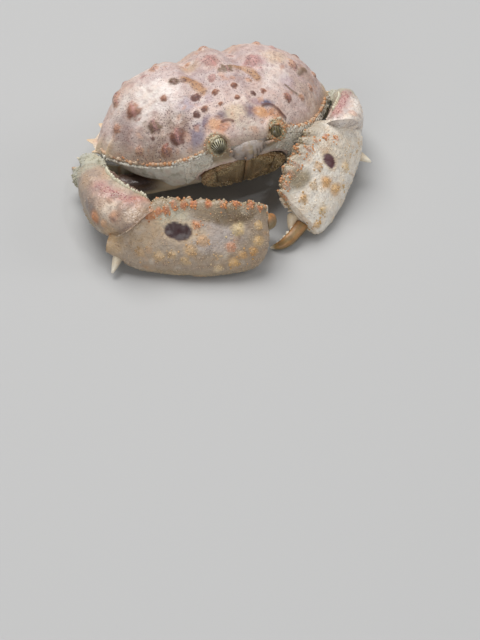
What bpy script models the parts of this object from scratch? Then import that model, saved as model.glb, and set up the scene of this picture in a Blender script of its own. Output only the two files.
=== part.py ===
# Box crab, a still life-size model in a resting pose.
# The script's own unit while shaping is the millimetre: place() turns each finished mesh into metres.
# The crab faces -Y, its left side is +X, and the floor is z = 0.

import math
import random

import bmesh
import bpy
import numpy as np
from mathutils import Matrix, Vector

MM = 0.001
GAP = 0.3
SEED = 11

# driving sizes, in millimetres
SHELL_CENTRE_Y = -1.0
DOME_TOP_Z = 38.8
BELLY_Z = 9.0
BRIM_THICKNESS = 2.0
EYE_X = 9.9
EYE_Y = -27.0
EYE_Z = 29.2
EYE_RADIUS = 2.8
ORIGIN_X = -1.9
ORIGIN_Y = -9.5

# half of the shell's outline from the front to the rear: x, y and the height of its edge
SHELL_EDGE = (
    (0.0, -28.7, 28.9), (5.0, -28.7, 28.9), (9.0, -27.3, 28.3), (14.0, -26.0, 26.1), (21.0, -22.8, 21.9),
    (28.2, -17.3, 18.7), (35.2, -9.1, 16.2), (39.9, -1.0, 15.0), (41.2, 5.6, 13.4), (39.6, 10.4, 12.4),
    (35.4, 15.6, 12.0), (29.8, 21.4, 12.4), (21.8, 26.2, 13.6), (12.0, 28.2, 14.4), (0.0, 28.7, 14.8))


def smoothstep(low, high, value):
    t = np.clip((value - low) / (high - low), 0.0, 1.0)
    return t * t * (3.0 - 2.0 * t)


def curve_through(points, steps):
    # a Catmull-Rom curve with the given number of steps between two points
    p = np.asarray(points, float)
    q = np.vstack([2 * p[0] - p[1], p, 2 * p[-1] - p[-2]])
    t = np.linspace(0.0, 1.0, steps, endpoint=False)[:, None]
    rows = []
    for a, b, c, d in zip(q[:-3], q[1:-2], q[2:-1], q[3:]):
        rows.append(0.5 * (2 * b + (c - a) * t + (2 * a - 5 * b + 4 * c - d) * t ** 2
                           + (3 * b - a - 3 * c + d) * t ** 3))
    rows.append(p[-1:])
    return np.vstack(rows)


# the collections, the empty that carries the parts, and the materials

for old in list(bpy.data.objects):
    bpy.data.objects.remove(old, do_unlink=True)

crab = bpy.data.collections.new("box_crab")
bpy.context.scene.collection.children.link(crab)
carrier = bpy.data.objects.new("crab_origin", None)
crab.objects.link(carrier)


def make_material(name, colour, roughness):
    material = bpy.data.materials.new(name)
    material.use_nodes = True
    shader = material.node_tree.nodes["Principled BSDF"]
    shader.inputs["Base Color"].default_value = (*colour, 1.0)
    shader.inputs["Roughness"].default_value = roughness
    shader.inputs["Metallic"].default_value = 0.0
    return material


SHELL = make_material("shell", (0.60, 0.47, 0.42), 0.55)
CLAW = make_material("claw", (0.74, 0.64, 0.48), 0.5)
LIMB = make_material("limb", (0.78, 0.70, 0.55), 0.45)
UNDER = make_material("under", (0.85, 0.80, 0.72), 0.5)
EYE = make_material("eye", (0.16, 0.14, 0.08), 0.15)
MOUTH = make_material("mouth", (0.42, 0.32, 0.20), 0.5)


# mesh helpers

def scratch_object(bm, name="piece"):
    bmesh.ops.recalc_face_normals(bm, faces=bm.faces)
    mesh = bpy.data.meshes.new(name)
    bm.to_mesh(mesh)
    bm.free()
    return bpy.data.objects.new(name, mesh)


def loft(loops):
    # a closed skin over rings of equal count, capped flat at both ends
    loops = np.asarray(loops, float)
    rings, sides = loops.shape[:2]
    faces = []
    for r in range(rings - 1):
        for s in range(sides):
            n = (s + 1) % sides
            faces.append((r * sides + s, r * sides + n, (r + 1) * sides + n, (r + 1) * sides + s))
    faces.append(tuple(range(sides))[::-1])
    faces.append(tuple(range((rings - 1) * sides, rings * sides)))
    mesh = bpy.data.meshes.new("loft")
    mesh.from_pydata([tuple(p) for p in loops.reshape(-1, 3)], [], faces)
    bm = bmesh.new()
    bm.from_mesh(mesh)
    bpy.data.meshes.remove(mesh)
    bmesh.ops.triangulate(bm, faces=bm.faces)
    return scratch_object(bm)


def frames_along(path, up):
    # tangent, side and up directions at each point of a path
    tangent = np.gradient(path, axis=0)
    tangent /= np.linalg.norm(tangent, axis=1)[:, None]
    side = np.cross(tangent, np.asarray(up, float))
    side /= np.linalg.norm(side, axis=1)[:, None]
    return tangent, side, np.cross(side, tangent)


def limb(points, widths, heights, up=(0, 0, 1), sides=10, steps=3, fullness=2.0):
    # a limb segment: superelliptic rings along a smooth path
    path = curve_through(points, steps)
    size = curve_through(np.stack([widths, heights], axis=1), steps)
    tangent, side, rise = frames_along(path, up)
    angle = np.linspace(0.0, 2 * math.pi, sides, endpoint=False)
    cos = np.sign(np.cos(angle)) * np.abs(np.cos(angle)) ** (2 / fullness)
    sin = np.sign(np.sin(angle)) * np.abs(np.sin(angle)) ** (2 / fullness)
    loops = (path[:, None] + side[:, None] * (cos * size[:, :1] / 2)[:, :, None]
             + rise[:, None] * (sin * size[:, 1:] / 2)[:, :, None])
    return loft(loops)


def ball(centre, radii, segments=12, rings=8, turn=None):
    bm = bmesh.new()
    bmesh.ops.create_uvsphere(bm, u_segments=segments, v_segments=rings, radius=1.0)
    matrix = Matrix.Translation(centre) @ (turn or Matrix.Identity(4)) @ Matrix.Diagonal((*radii, 1.0))
    bmesh.ops.transform(bm, matrix=matrix, verts=bm.verts)
    bmesh.ops.triangulate(bm, faces=bm.faces)
    return scratch_object(bm)


def spine(root, tip, width, thickness=None, blunt=0.35, sides=6, across=(0, 0, 1)):
    # a tapered spine from a sunk root to its tip; thickness is measured along across
    root = Vector(root)
    axis = Vector(tip) - root
    bm = bmesh.new()
    bmesh.ops.create_cone(bm, cap_ends=True, segments=sides, radius1=0.5, radius2=0.5 * blunt / width,
                          depth=1.0)
    along = axis.normalized()
    second = along.cross(Vector(across)).normalized()
    third = along.cross(second)
    matrix = Matrix((second * width, third * (thickness or width), axis)).transposed().to_4x4()
    matrix.translation = root + axis / 2
    bmesh.ops.transform(bm, matrix=matrix, verts=bm.verts)
    bmesh.ops.triangulate(bm, faces=bm.faces)
    return scratch_object(bm)


def bead(point, normal, width, height):
    # a low rounded knob, its root sunk under the surface
    turn = Vector(normal).to_track_quat("Z", "Y").to_matrix().to_4x4()
    bm = bmesh.new()
    bmesh.ops.create_icosphere(bm, subdivisions=1, radius=1.0)
    matrix = Matrix.Translation(point) @ turn @ Matrix.Diagonal((width / 2, width / 2, height, 1.0))
    bmesh.ops.transform(bm, matrix=matrix, verts=bm.verts)
    return scratch_object(bm)


def keep_largest(bm):
    # only the closed surface with the largest volume stays
    left = set(bm.verts)
    shells = []
    while left:
        stack = [left.pop()]
        shell = set(stack)
        while stack:
            for edge in stack.pop().link_edges:
                for vert in edge.verts:
                    if vert in left:
                        left.discard(vert)
                        shell.add(vert)
                        stack.append(vert)
        shells.append(shell)
    if len(shells) > 1:
        best = max(shells, key=shell_volume)
        bmesh.ops.delete(bm, geom=[v for v in bm.verts if v not in best], context="VERTS")


def shell_volume(shell):
    total = 0.0
    faces = {face for vert in shell for face in vert.link_faces}
    for face in faces:
        a = face.verts[0].co
        for b, c in zip(face.verts[1:-1], face.verts[2:]):
            total += a.dot(b.co.cross(c.co)) / 6.0
    return abs(total)


def combine(base, pieces, operation="UNION"):
    # one Boolean on a collection of closed meshes, applied, with the pieces then removed
    if not pieces:
        return base
    group = bpy.data.collections.new("pieces")
    bpy.context.scene.collection.children.link(group)
    for piece in pieces:
        group.objects.link(piece)
    bpy.context.scene.collection.objects.link(base)
    modifier = base.modifiers.new("combine", "BOOLEAN")
    modifier.operation = operation
    modifier.operand_type = "COLLECTION"
    modifier.collection = group
    modifier.solver = "EXACT"
    bpy.context.view_layer.update()
    evaluated = base.evaluated_get(bpy.context.evaluated_depsgraph_get())
    bm = bmesh.new()
    bm.from_mesh(evaluated.to_mesh())
    evaluated.to_mesh_clear()
    for piece in pieces:
        bpy.data.objects.remove(piece, do_unlink=True)
    bpy.data.collections.remove(group)
    bpy.data.objects.remove(base, do_unlink=True)
    bmesh.ops.remove_doubles(bm, verts=bm.verts, dist=0.002)
    keep_largest(bm)
    bmesh.ops.triangulate(bm, faces=bm.faces)
    return scratch_object(bm)


def trim(piece, point, normal):
    # cuts a piece flat at a plane and drops what lies on the normal's side
    bm = bmesh.new()
    bm.from_mesh(piece.data)
    bpy.data.objects.remove(piece, do_unlink=True)
    cut = bmesh.ops.bisect_plane(bm, geom=bm.verts[:] + bm.edges[:] + bm.faces[:], dist=0.0005,
                                 plane_co=point, plane_no=normal, clear_outer=True)
    rim = [e for e in cut["geom_cut"] if isinstance(e, bmesh.types.BMEdge) and e.is_boundary]
    if rim:
        bmesh.ops.holes_fill(bm, edges=rim, sides=0)
    bmesh.ops.triangulate(bm, faces=bm.faces)
    keep_largest(bm)
    return scratch_object(bm)


def between(piece, start, start_normal, end=None, end_normal=None):
    # a segment cut flat at its joints, each half of GAP short of the joint's plane
    n = Vector(start_normal).normalized()
    piece = trim(piece, Vector(start) + n * GAP / 2, -n)
    if end is not None:
        n = Vector(end_normal).normalized()
        piece = trim(piece, Vector(end) - n * GAP / 2, n)
    return piece


def on_floor(piece):
    return trim(piece, Vector((0, 0, 0)), Vector((0, 0, -1)))


def place(piece, name, material, pivot=(0, 0, 0)):
    # the finished node: metres, its origin at its joint, hung on the carrier
    pivot = Vector(pivot)
    mesh = piece.data
    mesh.name = name
    mesh.transform(Matrix.Scale(MM, 4) @ Matrix.Translation(-pivot))
    mesh.materials.append(material)
    piece.name = name
    piece.location = (pivot - Vector((ORIGIN_X, ORIGIN_Y, 0))) * MM
    piece.parent = carrier
    crab.objects.link(piece)
    for polygon in mesh.polygons:
        polygon.use_smooth = True
    mesh.set_sharp_from_angle(angle=math.radians(40))
    return piece


# the shell

def edge_table():
    # the shell's edge as radius and height against the angle about its centre
    half = curve_through(SHELL_EDGE, 8)
    whole = np.vstack([half, (half * (-1, 1, 1))[::-1][1:]])
    x, y = whole[:, 0], whole[:, 1] - SHELL_CENTRE_Y
    angle = np.unwrap(np.arctan2(y, x))
    return angle, np.hypot(x, y), whole[:, 2]


EDGE_ANGLE, EDGE_RADIUS, EDGE_HEIGHT = edge_table()
TURN = 2 * math.pi


def edge_at(angle):
    wrapped = (np.asarray(angle) - EDGE_ANGLE[0]) % TURN + EDGE_ANGLE[0]
    return np.interp(wrapped, EDGE_ANGLE, EDGE_RADIUS), np.interp(wrapped, EDGE_ANGLE, EDGE_HEIGHT)


def front_weight(angle):
    # 1 at the face, 0 past the orbits
    return smoothstep(0.72, 0.90, -np.sin(angle))


def brim_weight(angle):
    # 1 where the rear side edges spread as thin plates over the legs
    return smoothstep(-0.10, 0.30, np.sin(angle))


# height changes of the dome: centre x and y, spread along x and y, and rise; those with x above 0 have a mirror image
SHELL_LOBES = (
    (21.0, 3.0, 9.0, 12.0, 2.0), (0.0, -9.0, 5.5, 7.0, 0.7), (0.0, 12.0, 4.0, 7.0, 1.0),
    (8.0, 8.0, 2.3, 13.0, -2.2), (12.0, -11.0, 6.0, 2.2, -0.9), (24.0, -16.0, 6.0, 3.0, -0.6),
    (-31.0, 11.0, 6.0, 7.0, 2.4))


def dome_height(x, y):
    dx, dy = np.asarray(x, float), np.asarray(y, float) - SHELL_CENTRE_Y
    angle = np.arctan2(dy, dx)
    radius, edge = edge_at(angle)
    reach = 1.0 - 0.05 * brim_weight(angle)
    fraction = np.clip(np.hypot(dx, dy) / radius / reach, 0.0, 1.0)
    fullness = 0.58 + 0.27 * smoothstep(0.40, 0.95, np.sin(angle))
    height = edge + (DOME_TOP_Z - edge) * (1.0 - fraction ** 2.5) ** fullness
    fade = 1.0 - smoothstep(0.80, 1.0, fraction)
    for cx, cy, sx, sy, rise in SHELL_LOBES:
        for mirror in ((1, -1) if cx > 0 else (1,)):
            bump = np.exp(-0.5 * (((x - mirror * cx) / sx) ** 2 + ((y - cy) / sy) ** 2))
            height = height + rise * bump * fade
    return height


def dome_normal(x, y, step=0.4):
    slope_x = (dome_height(x + step, y) - dome_height(x - step, y)) / (2 * step)
    slope_y = (dome_height(x, y + step) - dome_height(x, y - step)) / (2 * step)
    return Vector((-slope_x, -slope_y, 1.0)).normalized()


# the shell's lower surface from its edge inward, as shares of the radius at each step
UNDER_STEPS = (0.0, 0.14, 0.30, 0.48, 0.66, 0.84, 1.0)
FACE_SHARES = (1.0, 0.975, 0.92, 0.85, 0.76, 0.40, 0.0)
SIDE_SHARES = (1.0, 0.985, 0.955, 0.89, 0.62, 0.38, 0.0)


def under_point(step, angle):
    # share of the radius and height of the lower surface; step runs from 0 at the edge to 1
    edge = edge_at(angle)[1]
    face, brim = front_weight(angle), brim_weight(angle)
    cheek = (1 - brim) * smoothstep(0.28, 0.64, -np.sin(angle))
    drop = BRIM_THICKNESS + 8.0 * cheek
    side = (edge, edge - 0.5 * drop, np.maximum(edge - drop, 9.6), 13.6 - 2.4 * brim, 10.8 + 2.6 * cheek,
            BELLY_Z, BELLY_Z)
    front = (edge, edge - 4.0, 19.0, 12.0, BELLY_Z, BELLY_Z, BELLY_Z)
    share = 0.0
    height = 0.0
    for k in range(len(UNDER_STEPS) - 1):
        low, high = UNDER_STEPS[k], UNDER_STEPS[k + 1]
        inside = (step >= low) & ((step < high) | (k == len(UNDER_STEPS) - 2))
        t = (step - low) / (high - low)
        s_side = SIDE_SHARES[k] + (SIDE_SHARES[k + 1] - SIDE_SHARES[k]) * t
        s_face = FACE_SHARES[k] + (FACE_SHARES[k + 1] - FACE_SHARES[k]) * t
        h_side = side[k] + (side[k + 1] - side[k]) * t
        h_face = front[k] + (front[k + 1] - front[k]) * t
        share = np.where(inside, s_side + (s_face - s_side) * face, share)
        height = np.where(inside, h_side + (h_face - h_side) * face, height)
    return share, height


SHELL_SEGMENTS = 54
SHELL_RINGS = 25
UPPER_SHARES = (0.0, 0.16, 0.32, 0.46, 0.58, 0.68, 0.77, 0.84, 0.88, 0.91, 0.94, 0.972, 1.0)


def shell_body():
    bm = bmesh.new()
    bmesh.ops.create_uvsphere(bm, u_segments=SHELL_SEGMENTS, v_segments=SHELL_RINGS, radius=1.0)
    co = np.array([v.co[:] for v in bm.verts])
    ring = np.arccos(np.clip(co[:, 2], -1, 1)) / math.pi * SHELL_RINGS
    angle = np.arctan2(co[:, 1], co[:, 0])
    radius, edge = edge_at(angle)
    upper_rings = len(UPPER_SHARES) - 1
    share_top = np.interp(ring, np.arange(upper_rings + 1), UPPER_SHARES)
    under_step = np.clip((ring - upper_rings) / (SHELL_RINGS - upper_rings), 0.0, 1.0)
    share_low, height_low = under_point(under_step, angle)
    top = ring <= upper_rings + 1e-3
    share = np.where(top, share_top, share_low)
    x = np.cos(angle) * radius * share
    y = np.sin(angle) * radius * share + SHELL_CENTRE_Y
    z = np.where(top, dome_height(x, y), height_low)
    for vert, point in zip(bm.verts, np.stack([x, y, z], axis=1)):
        vert.co = point
    bmesh.ops.triangulate(bm, faces=bm.faces)
    return scratch_object(bm)


# spines of the rear edge: angle about the shell's centre, length and width
EDGE_SPINES = (
    (82.0, 3.8, 4.0), (65.5, 4.2, 4.4), (51.0, 3.8, 4.6), (39.0, 2.2, 4.0), (27.5, 1.8, 3.6), (15.0, 2.6, 3.6),
    (5.0, 2.2, 3.0), (-3.5, 1.4, 2.6))
# beads of the front edge run between these angles
EDGE_BEADS = (-9.0, -62.0, 12)
EDGE_BEAD_WIDTH = 2.0
# knobs of the dome: x, y, width and rise; the pairs have a mirror image, moved a little at random
PAIRED_KNOBS = (
    (31.6, 6.9, 4.0, 1.3), (28.8, -2.4, 4.2, 1.4), (25.2, -10.7, 3.6, 1.1), (19.8, -17.6, 3.2, 1.0),
    (29.4, -12.4, 2.8, 1.0), (11.2, -10.6, 2.3, 0.9), (11.8, -16.0, 2.6, 0.9), (5.4, -12.6, 2.0, 0.8),
    (13.2, -2.2, 2.8, 0.9), (18.0, 8.0, 3.0, 1.0), (26.0, 15.0, 3.2, 1.0), (14.0, 18.0, 3.4, 1.1))
MIDLINE_KNOBS = ((-1.0, 1.7, 3.4, 1.0), (1.4, -11.6, 2.0, 0.8), (0.6, 12.0, 3.2, 1.0), (-0.4, 21.0, 2.8, 0.9))
KNOB_SHIFT = 0.5


def edge_point(degrees, inset=0.0, drop=0.0):
    angle = math.radians(degrees)
    radius, height = edge_at(angle)
    radius = float(radius) - inset
    return Vector((radius * math.cos(angle), radius * math.sin(angle) + SHELL_CENTRE_Y, float(height) - drop))


def shell_spines():
    pieces = []
    for degrees, length, width in EDGE_SPINES:
        root = edge_point(degrees, 2.2, BRIM_THICKNESS / 2)
        tangent = edge_point(degrees + 1) - edge_point(degrees - 1)
        out = Vector((tangent.y, -tangent.x, 0)).normalized()
        tip = root + out * (2.2 + length) + Vector((0, 0, 0.6))
        for side in (1, -1):
            a = Vector((root.x * side, root.y, root.z))
            b = Vector((tip.x * side, tip.y, tip.z))
            pieces.append(spine(a, b, width, 0.62 * width, blunt=0.5))
    return pieces


def shell_beads():
    pieces = []
    first, last, count = EDGE_BEADS
    for degrees in np.linspace(first, last, count):
        point = edge_point(degrees, EDGE_BEAD_WIDTH / 6, EDGE_BEAD_WIDTH / 10)
        for side in (1, -1):
            normal = Vector((side * math.cos(math.radians(degrees)), math.sin(math.radians(degrees)), 0.8))
            pieces.append(bead((side * point.x, point.y, point.z), normal, EDGE_BEAD_WIDTH, 0.9))
    return pieces


def shell_knobs():
    pieces = []
    knobs = [(side * x, y, w, h) for x, y, w, h in PAIRED_KNOBS for side in (1, -1)]
    for x, y, width, rise in knobs + list(MIDLINE_KNOBS):
        x += random.uniform(-KNOB_SHIFT, KNOB_SHIFT)
        y += random.uniform(-KNOB_SHIFT, KNOB_SHIFT)
        point = Vector((x, y, float(dome_height(x, y))))
        pieces.append(bead(point, dome_normal(x, y), width, rise))
    return pieces


# the mouth frame: half of its outline on the face, as x and height up the face
FACE_FOOT = Vector((0.0, -22.5, 9.8))
FACE_TOP = Vector((0.0, -25.0, 22.0))
FACE_UP = (FACE_TOP - FACE_FOOT).normalized()
FACE_OUT = Vector((0, -FACE_UP.z, FACE_UP.y))
MOUTH_EDGE = (
    (0.0, 0.0), (8.0, 0.2), (12.6, 2.2), (14.6, 5.0), (13.0, 7.8), (8.0, 10.8), (3.0, 12.6), (0.0, 12.8))
MOUTH_MIDDLE = (0.0, 6.0)
MOUTH_LIP = 0.35


def face_point(x, up, out):
    return Vector((x, 0, 0)) + FACE_FOOT + FACE_UP * up + FACE_OUT * out


def mouth_outline(grow):
    # the half outline, smooth, grown outward by the given amount
    line = curve_through(MOUTH_EDGE, 2)
    away = line - np.array(MOUTH_MIDDLE)
    away /= np.linalg.norm(away, axis=1)[:, None]
    line = line + away * grow
    line[0, 0] = line[-1, 0] = 0.0
    return line


def mouth_cutter():
    half = mouth_outline(MOUTH_LIP)
    whole = np.vstack([half, (half * (-1, 1))[::-1][1:-1]])
    return loft([[face_point(x, up, out) for x, up in whole] for out in (-GAP, 8.0)])


def maxilliped(side):
    # a pillow-shaped plate over half of the mouth frame, its inner edge straight at the midline
    half = mouth_outline(0.0)
    loops = []
    for out, shrink in ((0.0, 0.4), (0.9, 0.0), (1.9, 0.25), (2.7, 1.6)):
        centre = np.array([6.5, 6.0])
        away = half - centre
        away /= np.linalg.norm(away, axis=1)[:, None]
        ring = half - away * shrink
        ring[:, 0] = np.maximum(ring[:, 0], GAP / 2 + 0.4 * shrink)
        loops.append([face_point(side * x, up, out) for x, up in ring])
    return loft(loops)


# feelers: root, bend, tip and the width at each; the width is the thickness too
FEELERS = {
    "antenna": ((5.4, -26.2, 26.0), (6.0, -29.2, 27.2), (7.4, -31.6, 29.4), (1.5, 1.1, 0.55)),
    "antennule": ((1.9, -26.0, 24.4), (2.0, -28.6, 24.6), (1.3, -30.0, 23.4), (1.6, 1.2, 0.6))}


def feeler(kind, side, extra=0.0):
    *points, widths = FEELERS[kind]
    points = [(side * x, y, z) for x, y, z in points]
    if extra:
        # the socket's cutter keeps only the root's stretch
        first, second = Vector(points[0]), Vector(points[1])
        start = first - (second - first).normalized() * extra / 2
        points = [tuple(start), tuple(first.lerp(second, 0.5)), tuple(second)]
        widths = (widths[0], widths[0], widths[1])
    sizes = [w + extra for w in widths]
    return limb(points, sizes, sizes, up=(0, 0.3, 1), sides=8, steps=2)


# the tail folded under the body: path, widths and heights
TAIL_FLAP = (((0, -10.5, 3.9), (0, -4, 3.9), (0, 6, 3.9), (0, 17.5, 4.1)), (4.0, 8.4, 9.6, 11.2),
             (1.6, 1.6, 1.6, 1.8))
TAIL_BASE = (((0, 15.5, 3.8), (0, 19.5, 6.0), (0, 22.6, 8.8), (0, 25.2, 12.4)), (12.0, 13.0, 14.5, 16.0),
             (2.2, 2.6, 2.8, 3.0))
TAIL_JOINT = ((0, 16.6, 4.2), (0, 1, 0.45))
STERNUM_FLOOR = 4.9


def tail_piece(shape, extra=0.0):
    points, widths, heights = shape
    last = Vector(points[-1])
    points = [*points[:-1], tuple(last + (last - Vector(points[-2])).normalized() * extra)]
    widths = [w + extra for w in widths]
    heights = [h + extra for h in heights]
    return limb(points, widths, heights, sides=12, steps=3, fullness=4)


# limbs: each joint as a point on the left side; a limb's pieces are cut where the planes between them lie
LEGS = {
    1: ((13.0, -5.4, 6.1), (36.0, -3.0, 8.1), (40.8, -0.4, 7.8), (46.4, 3.8, 5.0), (47.6, 14.2, 0.1)),
    2: ((13.0, 0.6, 6.1), (33.4, 7.0, 7.9), (36.6, 11.0, 7.2), (36.8, 17.2, 4.6), (31.2, 25.4, 0.1)),
    3: ((12.8, 6.8, 6.1), (29.4, 16.8, 7.9), (31.0, 21.2, 7.2), (28.8, 27.6, 4.6), (22.4, 37.0, 0.1)),
    4: ((12.0, 12.6, 6.1), (20.6, 22.0, 7.9), (21.8, 27.0, 7.2), (17.4, 33.2, 4.6), (8.0, 38.4, 0.1))}
LEG_WIDTHS = ((4.2, 4.8, 4.2), (3.9, 3.9, 3.9), (3.7, 4.0, 3.0), (2.8, 2.2, 0.7))
LEG_HEIGHTS = ((4.2, 4.6, 4.0), (3.8, 3.8, 3.8), (3.7, 3.6, 2.8), (2.6, 2.0, 0.7))
LEG_PARTS = ("merus", "carpus", "propodus", "dactyl")
# a segment is made longer than its joints, then cut at them
LEG_OVERRUN = 2.4


def mirrored(point, side):
    return Vector((point[0] * side, point[1], point[2]))


def bend_plane(before, at, after):
    # the plane that halves the bend between two segments
    return ((at - before).normalized() + (after - at).normalized()).normalized()


def leg(number, side):
    joints = [mirrored(p, side) for p in LEGS[number]]
    hip = Vector((side, 0.0, 0.0)).lerp((joints[1] - joints[0]).normalized(), 0.5).normalized()
    planes = [hip] + [bend_plane(*joints[k - 1:k + 2]) for k in (1, 2, 3)]
    pieces = []
    for k, part in enumerate(LEG_PARTS):
        start, end = joints[k], joints[k + 1]
        along = (end - start).normalized()
        middle = start.lerp(end, 0.5) + Vector((0, 0, 0.5 if k in (0, 3) else 0))
        last = k == len(LEG_PARTS) - 1
        points = [start - along * LEG_OVERRUN, middle, end if last else end + along * LEG_OVERRUN]
        widths, heights = LEG_WIDTHS[k], LEG_HEIGHTS[k]
        body = limb(points, widths, heights, sides=7, steps=2 if k in (0, 3) else 1)
        if last:
            body = on_floor(between(body, start, planes[k]))
        else:
            body = between(body, start, planes[k], end, planes[k + 1])
        pieces.append((f"leg{number}_{'left' if side > 0 else 'right'}_{part}", body, start))
    return pieces, hip


# claws: joints, segment paths and palms are given for each side, as the two claws differ
CLAWS = {
    "right": {
        "side": -1,
        "hip": (-12.6, -12.4, 6.9), "knee": (-18.5, -12.7, 7.5), "elbow": (-45.5, -10.0, 8.7),
        "elbow_normal": (-0.62, -0.50, 0.60),
        "wrist": (-41.0, -33.5, 14.0), "wrist_normal": (0.42, -0.58, -0.70),
        "carpus": ((-46.4, -4.2, 11.4), (-46.6, -6.6, 11.6), (-46.2, -14.0, 12.7), (-44.6, -24.5, 13.2),
                   (-39.8, -36.0, 13.0)),
        "carpus_widths": (4.0, 8.0, 12.5, 16.5, 17.0), "carpus_heights": (5.5, 11.0, 14.8, 16.5, 17.0),
        "arm_spine": ((-42.5, -9.2, 8.0), (-48.8, -4.4, 5.6), 3.6),
        "crest": ((-45.0, -27.5, 17.0), (-38.5, -32.6, 19.5), (-31.5, -36.6, 20.6), (-24.5, -40.2, 21.6),
                  (-16.0, -44.6, 22.0), (-8.4, -48.2, 21.8), (-4.2, -50.4, 20.4), (-2.8, -51.6, 15.5)),
        "base": ((-50.5, -36.0, 7.0), (-44.6, -42.0, 2.6), (-37.0, -46.2, 1.0), (-29.4, -50.2, 0.7),
                 (-20.8, -53.6, 0.7), (-12.0, -55.6, 1.2), (-7.0, -56.4, 4.0), (-4.4, -55.2, 9.0)),
        "fatness": (0.8, 0.95, 1.0, 1.0, 1.0, 0.95, 0.8, 0.6),
        "spine": ((-47.0, -37.0, 6.0), (-51.4, -41.6, 2.2), 3.4),
        "finger": ((-4.4, -50.2, 13.6), (-1.4, -48.0, 12.0), (0.2, -45.0, 8.0), (-0.6, -42.4, 2.6)),
        "finger_sizes": (5.2, 5.0, 4.0, 1.8), "finger_normal": (0.93, 0.33, -0.16),
        "fixed_finger": ((-8.5, -50.6, 6.0), (-2.6, -47.6, 2.6), 6.0, 2.4)},
    "left": {
        "side": 1,
        "hip": (12.6, -12.4, 6.9), "knee": (18.5, -12.7, 7.5), "elbow": (43.6, -9.0, 8.7),
        "elbow_normal": (0.58, -0.50, 0.64),
        "wrist": (33.5, -24.3, 17.0), "wrist_normal": (-0.15, -0.93, -0.33),
        "carpus": ((45.0, -1.2, 12.4), (45.4, -3.4, 12.8), (44.0, -9.4, 14.0), (39.6, -17.4, 15.8),
                   (33.8, -26.5, 17.4)),
        "carpus_widths": (4.0, 7.0, 9.4, 12.2, 12.8), "carpus_heights": (6.0, 11.5, 14.0, 15.0, 15.5),
        "arm_spine": ((40.8, -8.2, 8.0), (47.4, -4.4, 6.0), 3.6),
        "crest": ((27.0, -21.5, 23.0), (21.8, -27.6, 24.0), (16.6, -31.6, 23.8), (11.2, -36.2, 22.0),
                  (7.0, -40.6, 19.0), (4.4, -44.2, 14.8), (3.6, -46.0, 10.0)),
        "base": ((42.6, -19.2, 13.2), (40.6, -25.4, 9.8), (36.6, -31.0, 5.4), (29.6, -38.4, 2.2),
                 (23.0, -44.6, 1.2), (17.4, -48.6, 1.3), (12.8, -49.6, 2.4)),
        "fatness": (0.8, 0.95, 1.0, 1.0, 0.95, 0.8, 0.65),
        "spine": ((39.6, -26.2, 9.8), (43.4, -31.0, 8.6), 3.2),
        "finger": ((11.4, -46.0, 4.2), (6.6, -49.0, 3.2), (2.8, -49.8, 1.8), (-0.6, -48.4, 0.5)),
        "finger_sizes": (4.2, 3.6, 2.6, 0.9), "finger_normal": (-0.78, -0.58, -0.24),
        "fixed_finger": ((6.6, -42.6, 9.4), (7.6, -44.6, 2.4), 4.6, 0.8)}}
ARM_WIDTHS = ((6.2, 6.4, 6.6), (6.6, 7.8, 8.0))
# the palm's section: from the crest (0) to the outer base (1), and outward as a share of that length
PALM_SECTION = (
    (0.00, 0.00), (0.05, 0.06), (0.20, 0.10), (0.42, 0.15), (0.64, 0.17), (0.82, 0.15), (0.94, 0.09),
    (1.00, 0.00), (1.00, -0.12), (0.94, -0.25), (0.84, -0.35), (0.75, -0.36), (0.64, -0.28), (0.46, -0.17),
    (0.24, -0.11), (0.05, -0.08))
# the crest's teeth: count, the stretch they cover, then the width, thickness and height of one
CREST_TEETH = 10
CREST_STRETCH = (0.24, 0.94)
CREST_TOOTH = (4.4, 3.0, 1.4)
# knobs on the outer side of a palm: place along it, column of the section, width
PALM_KNOBS = ((0.42, 3, 3.0), (0.55, 5, 3.0), (0.66, 3, 3.0), (0.80, 4, 3.2), (0.50, 6, 2.6))
PALM_KNOB_RISE = 1.2


def palm_rings(claw, steps=2):
    side = claw["side"]
    crest = curve_through(claw["crest"], steps)
    base = curve_through(claw["base"], steps)
    fat = curve_through(np.array(claw["fatness"])[:, None], steps)
    down = base - crest
    along = np.gradient((crest + base) / 2, axis=0)
    out = np.cross(along, down) * side
    out /= np.linalg.norm(out, axis=1)[:, None]
    deep = np.linalg.norm(down, axis=1)[:, None] * fat
    section = np.array(PALM_SECTION)
    return (crest[:, None] + down[:, None] * section[None, :, :1]
            + (out * deep)[:, None] * section[None, :, 1:]), crest, down, out


def palm(claw):
    rings, crest, down, out = palm_rings(claw)
    body = loft(rings)
    extras = []
    rise = -down / np.linalg.norm(down, axis=1)[:, None]
    places = np.linspace(*CREST_STRETCH, CREST_TEETH) * (len(crest) - 1)
    width, thickness, height = CREST_TOOTH
    for place_on in places:
        at = np.array([np.interp(place_on, np.arange(len(crest)), crest[:, c]) for c in range(3)])
        up = np.array([np.interp(place_on, np.arange(len(crest)), rise[:, c]) for c in range(3)])
        grow = random.uniform(0.8, 1.15)
        extras.append(spine(at - up * 2.4, at + up * height * grow, width * grow, thickness, blunt=1.6,
                            across=out[int(place_on)]))
    root, tip, width = claw["spine"]
    extras.append(spine(root, tip, width, blunt=0.4))
    for along, column, width in PALM_KNOBS:
        ring = int(along * (len(rings) - 1))
        extras.append(bead(rings[ring][column], out[ring], width, PALM_KNOB_RISE))
    return combine(body, extras)


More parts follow.
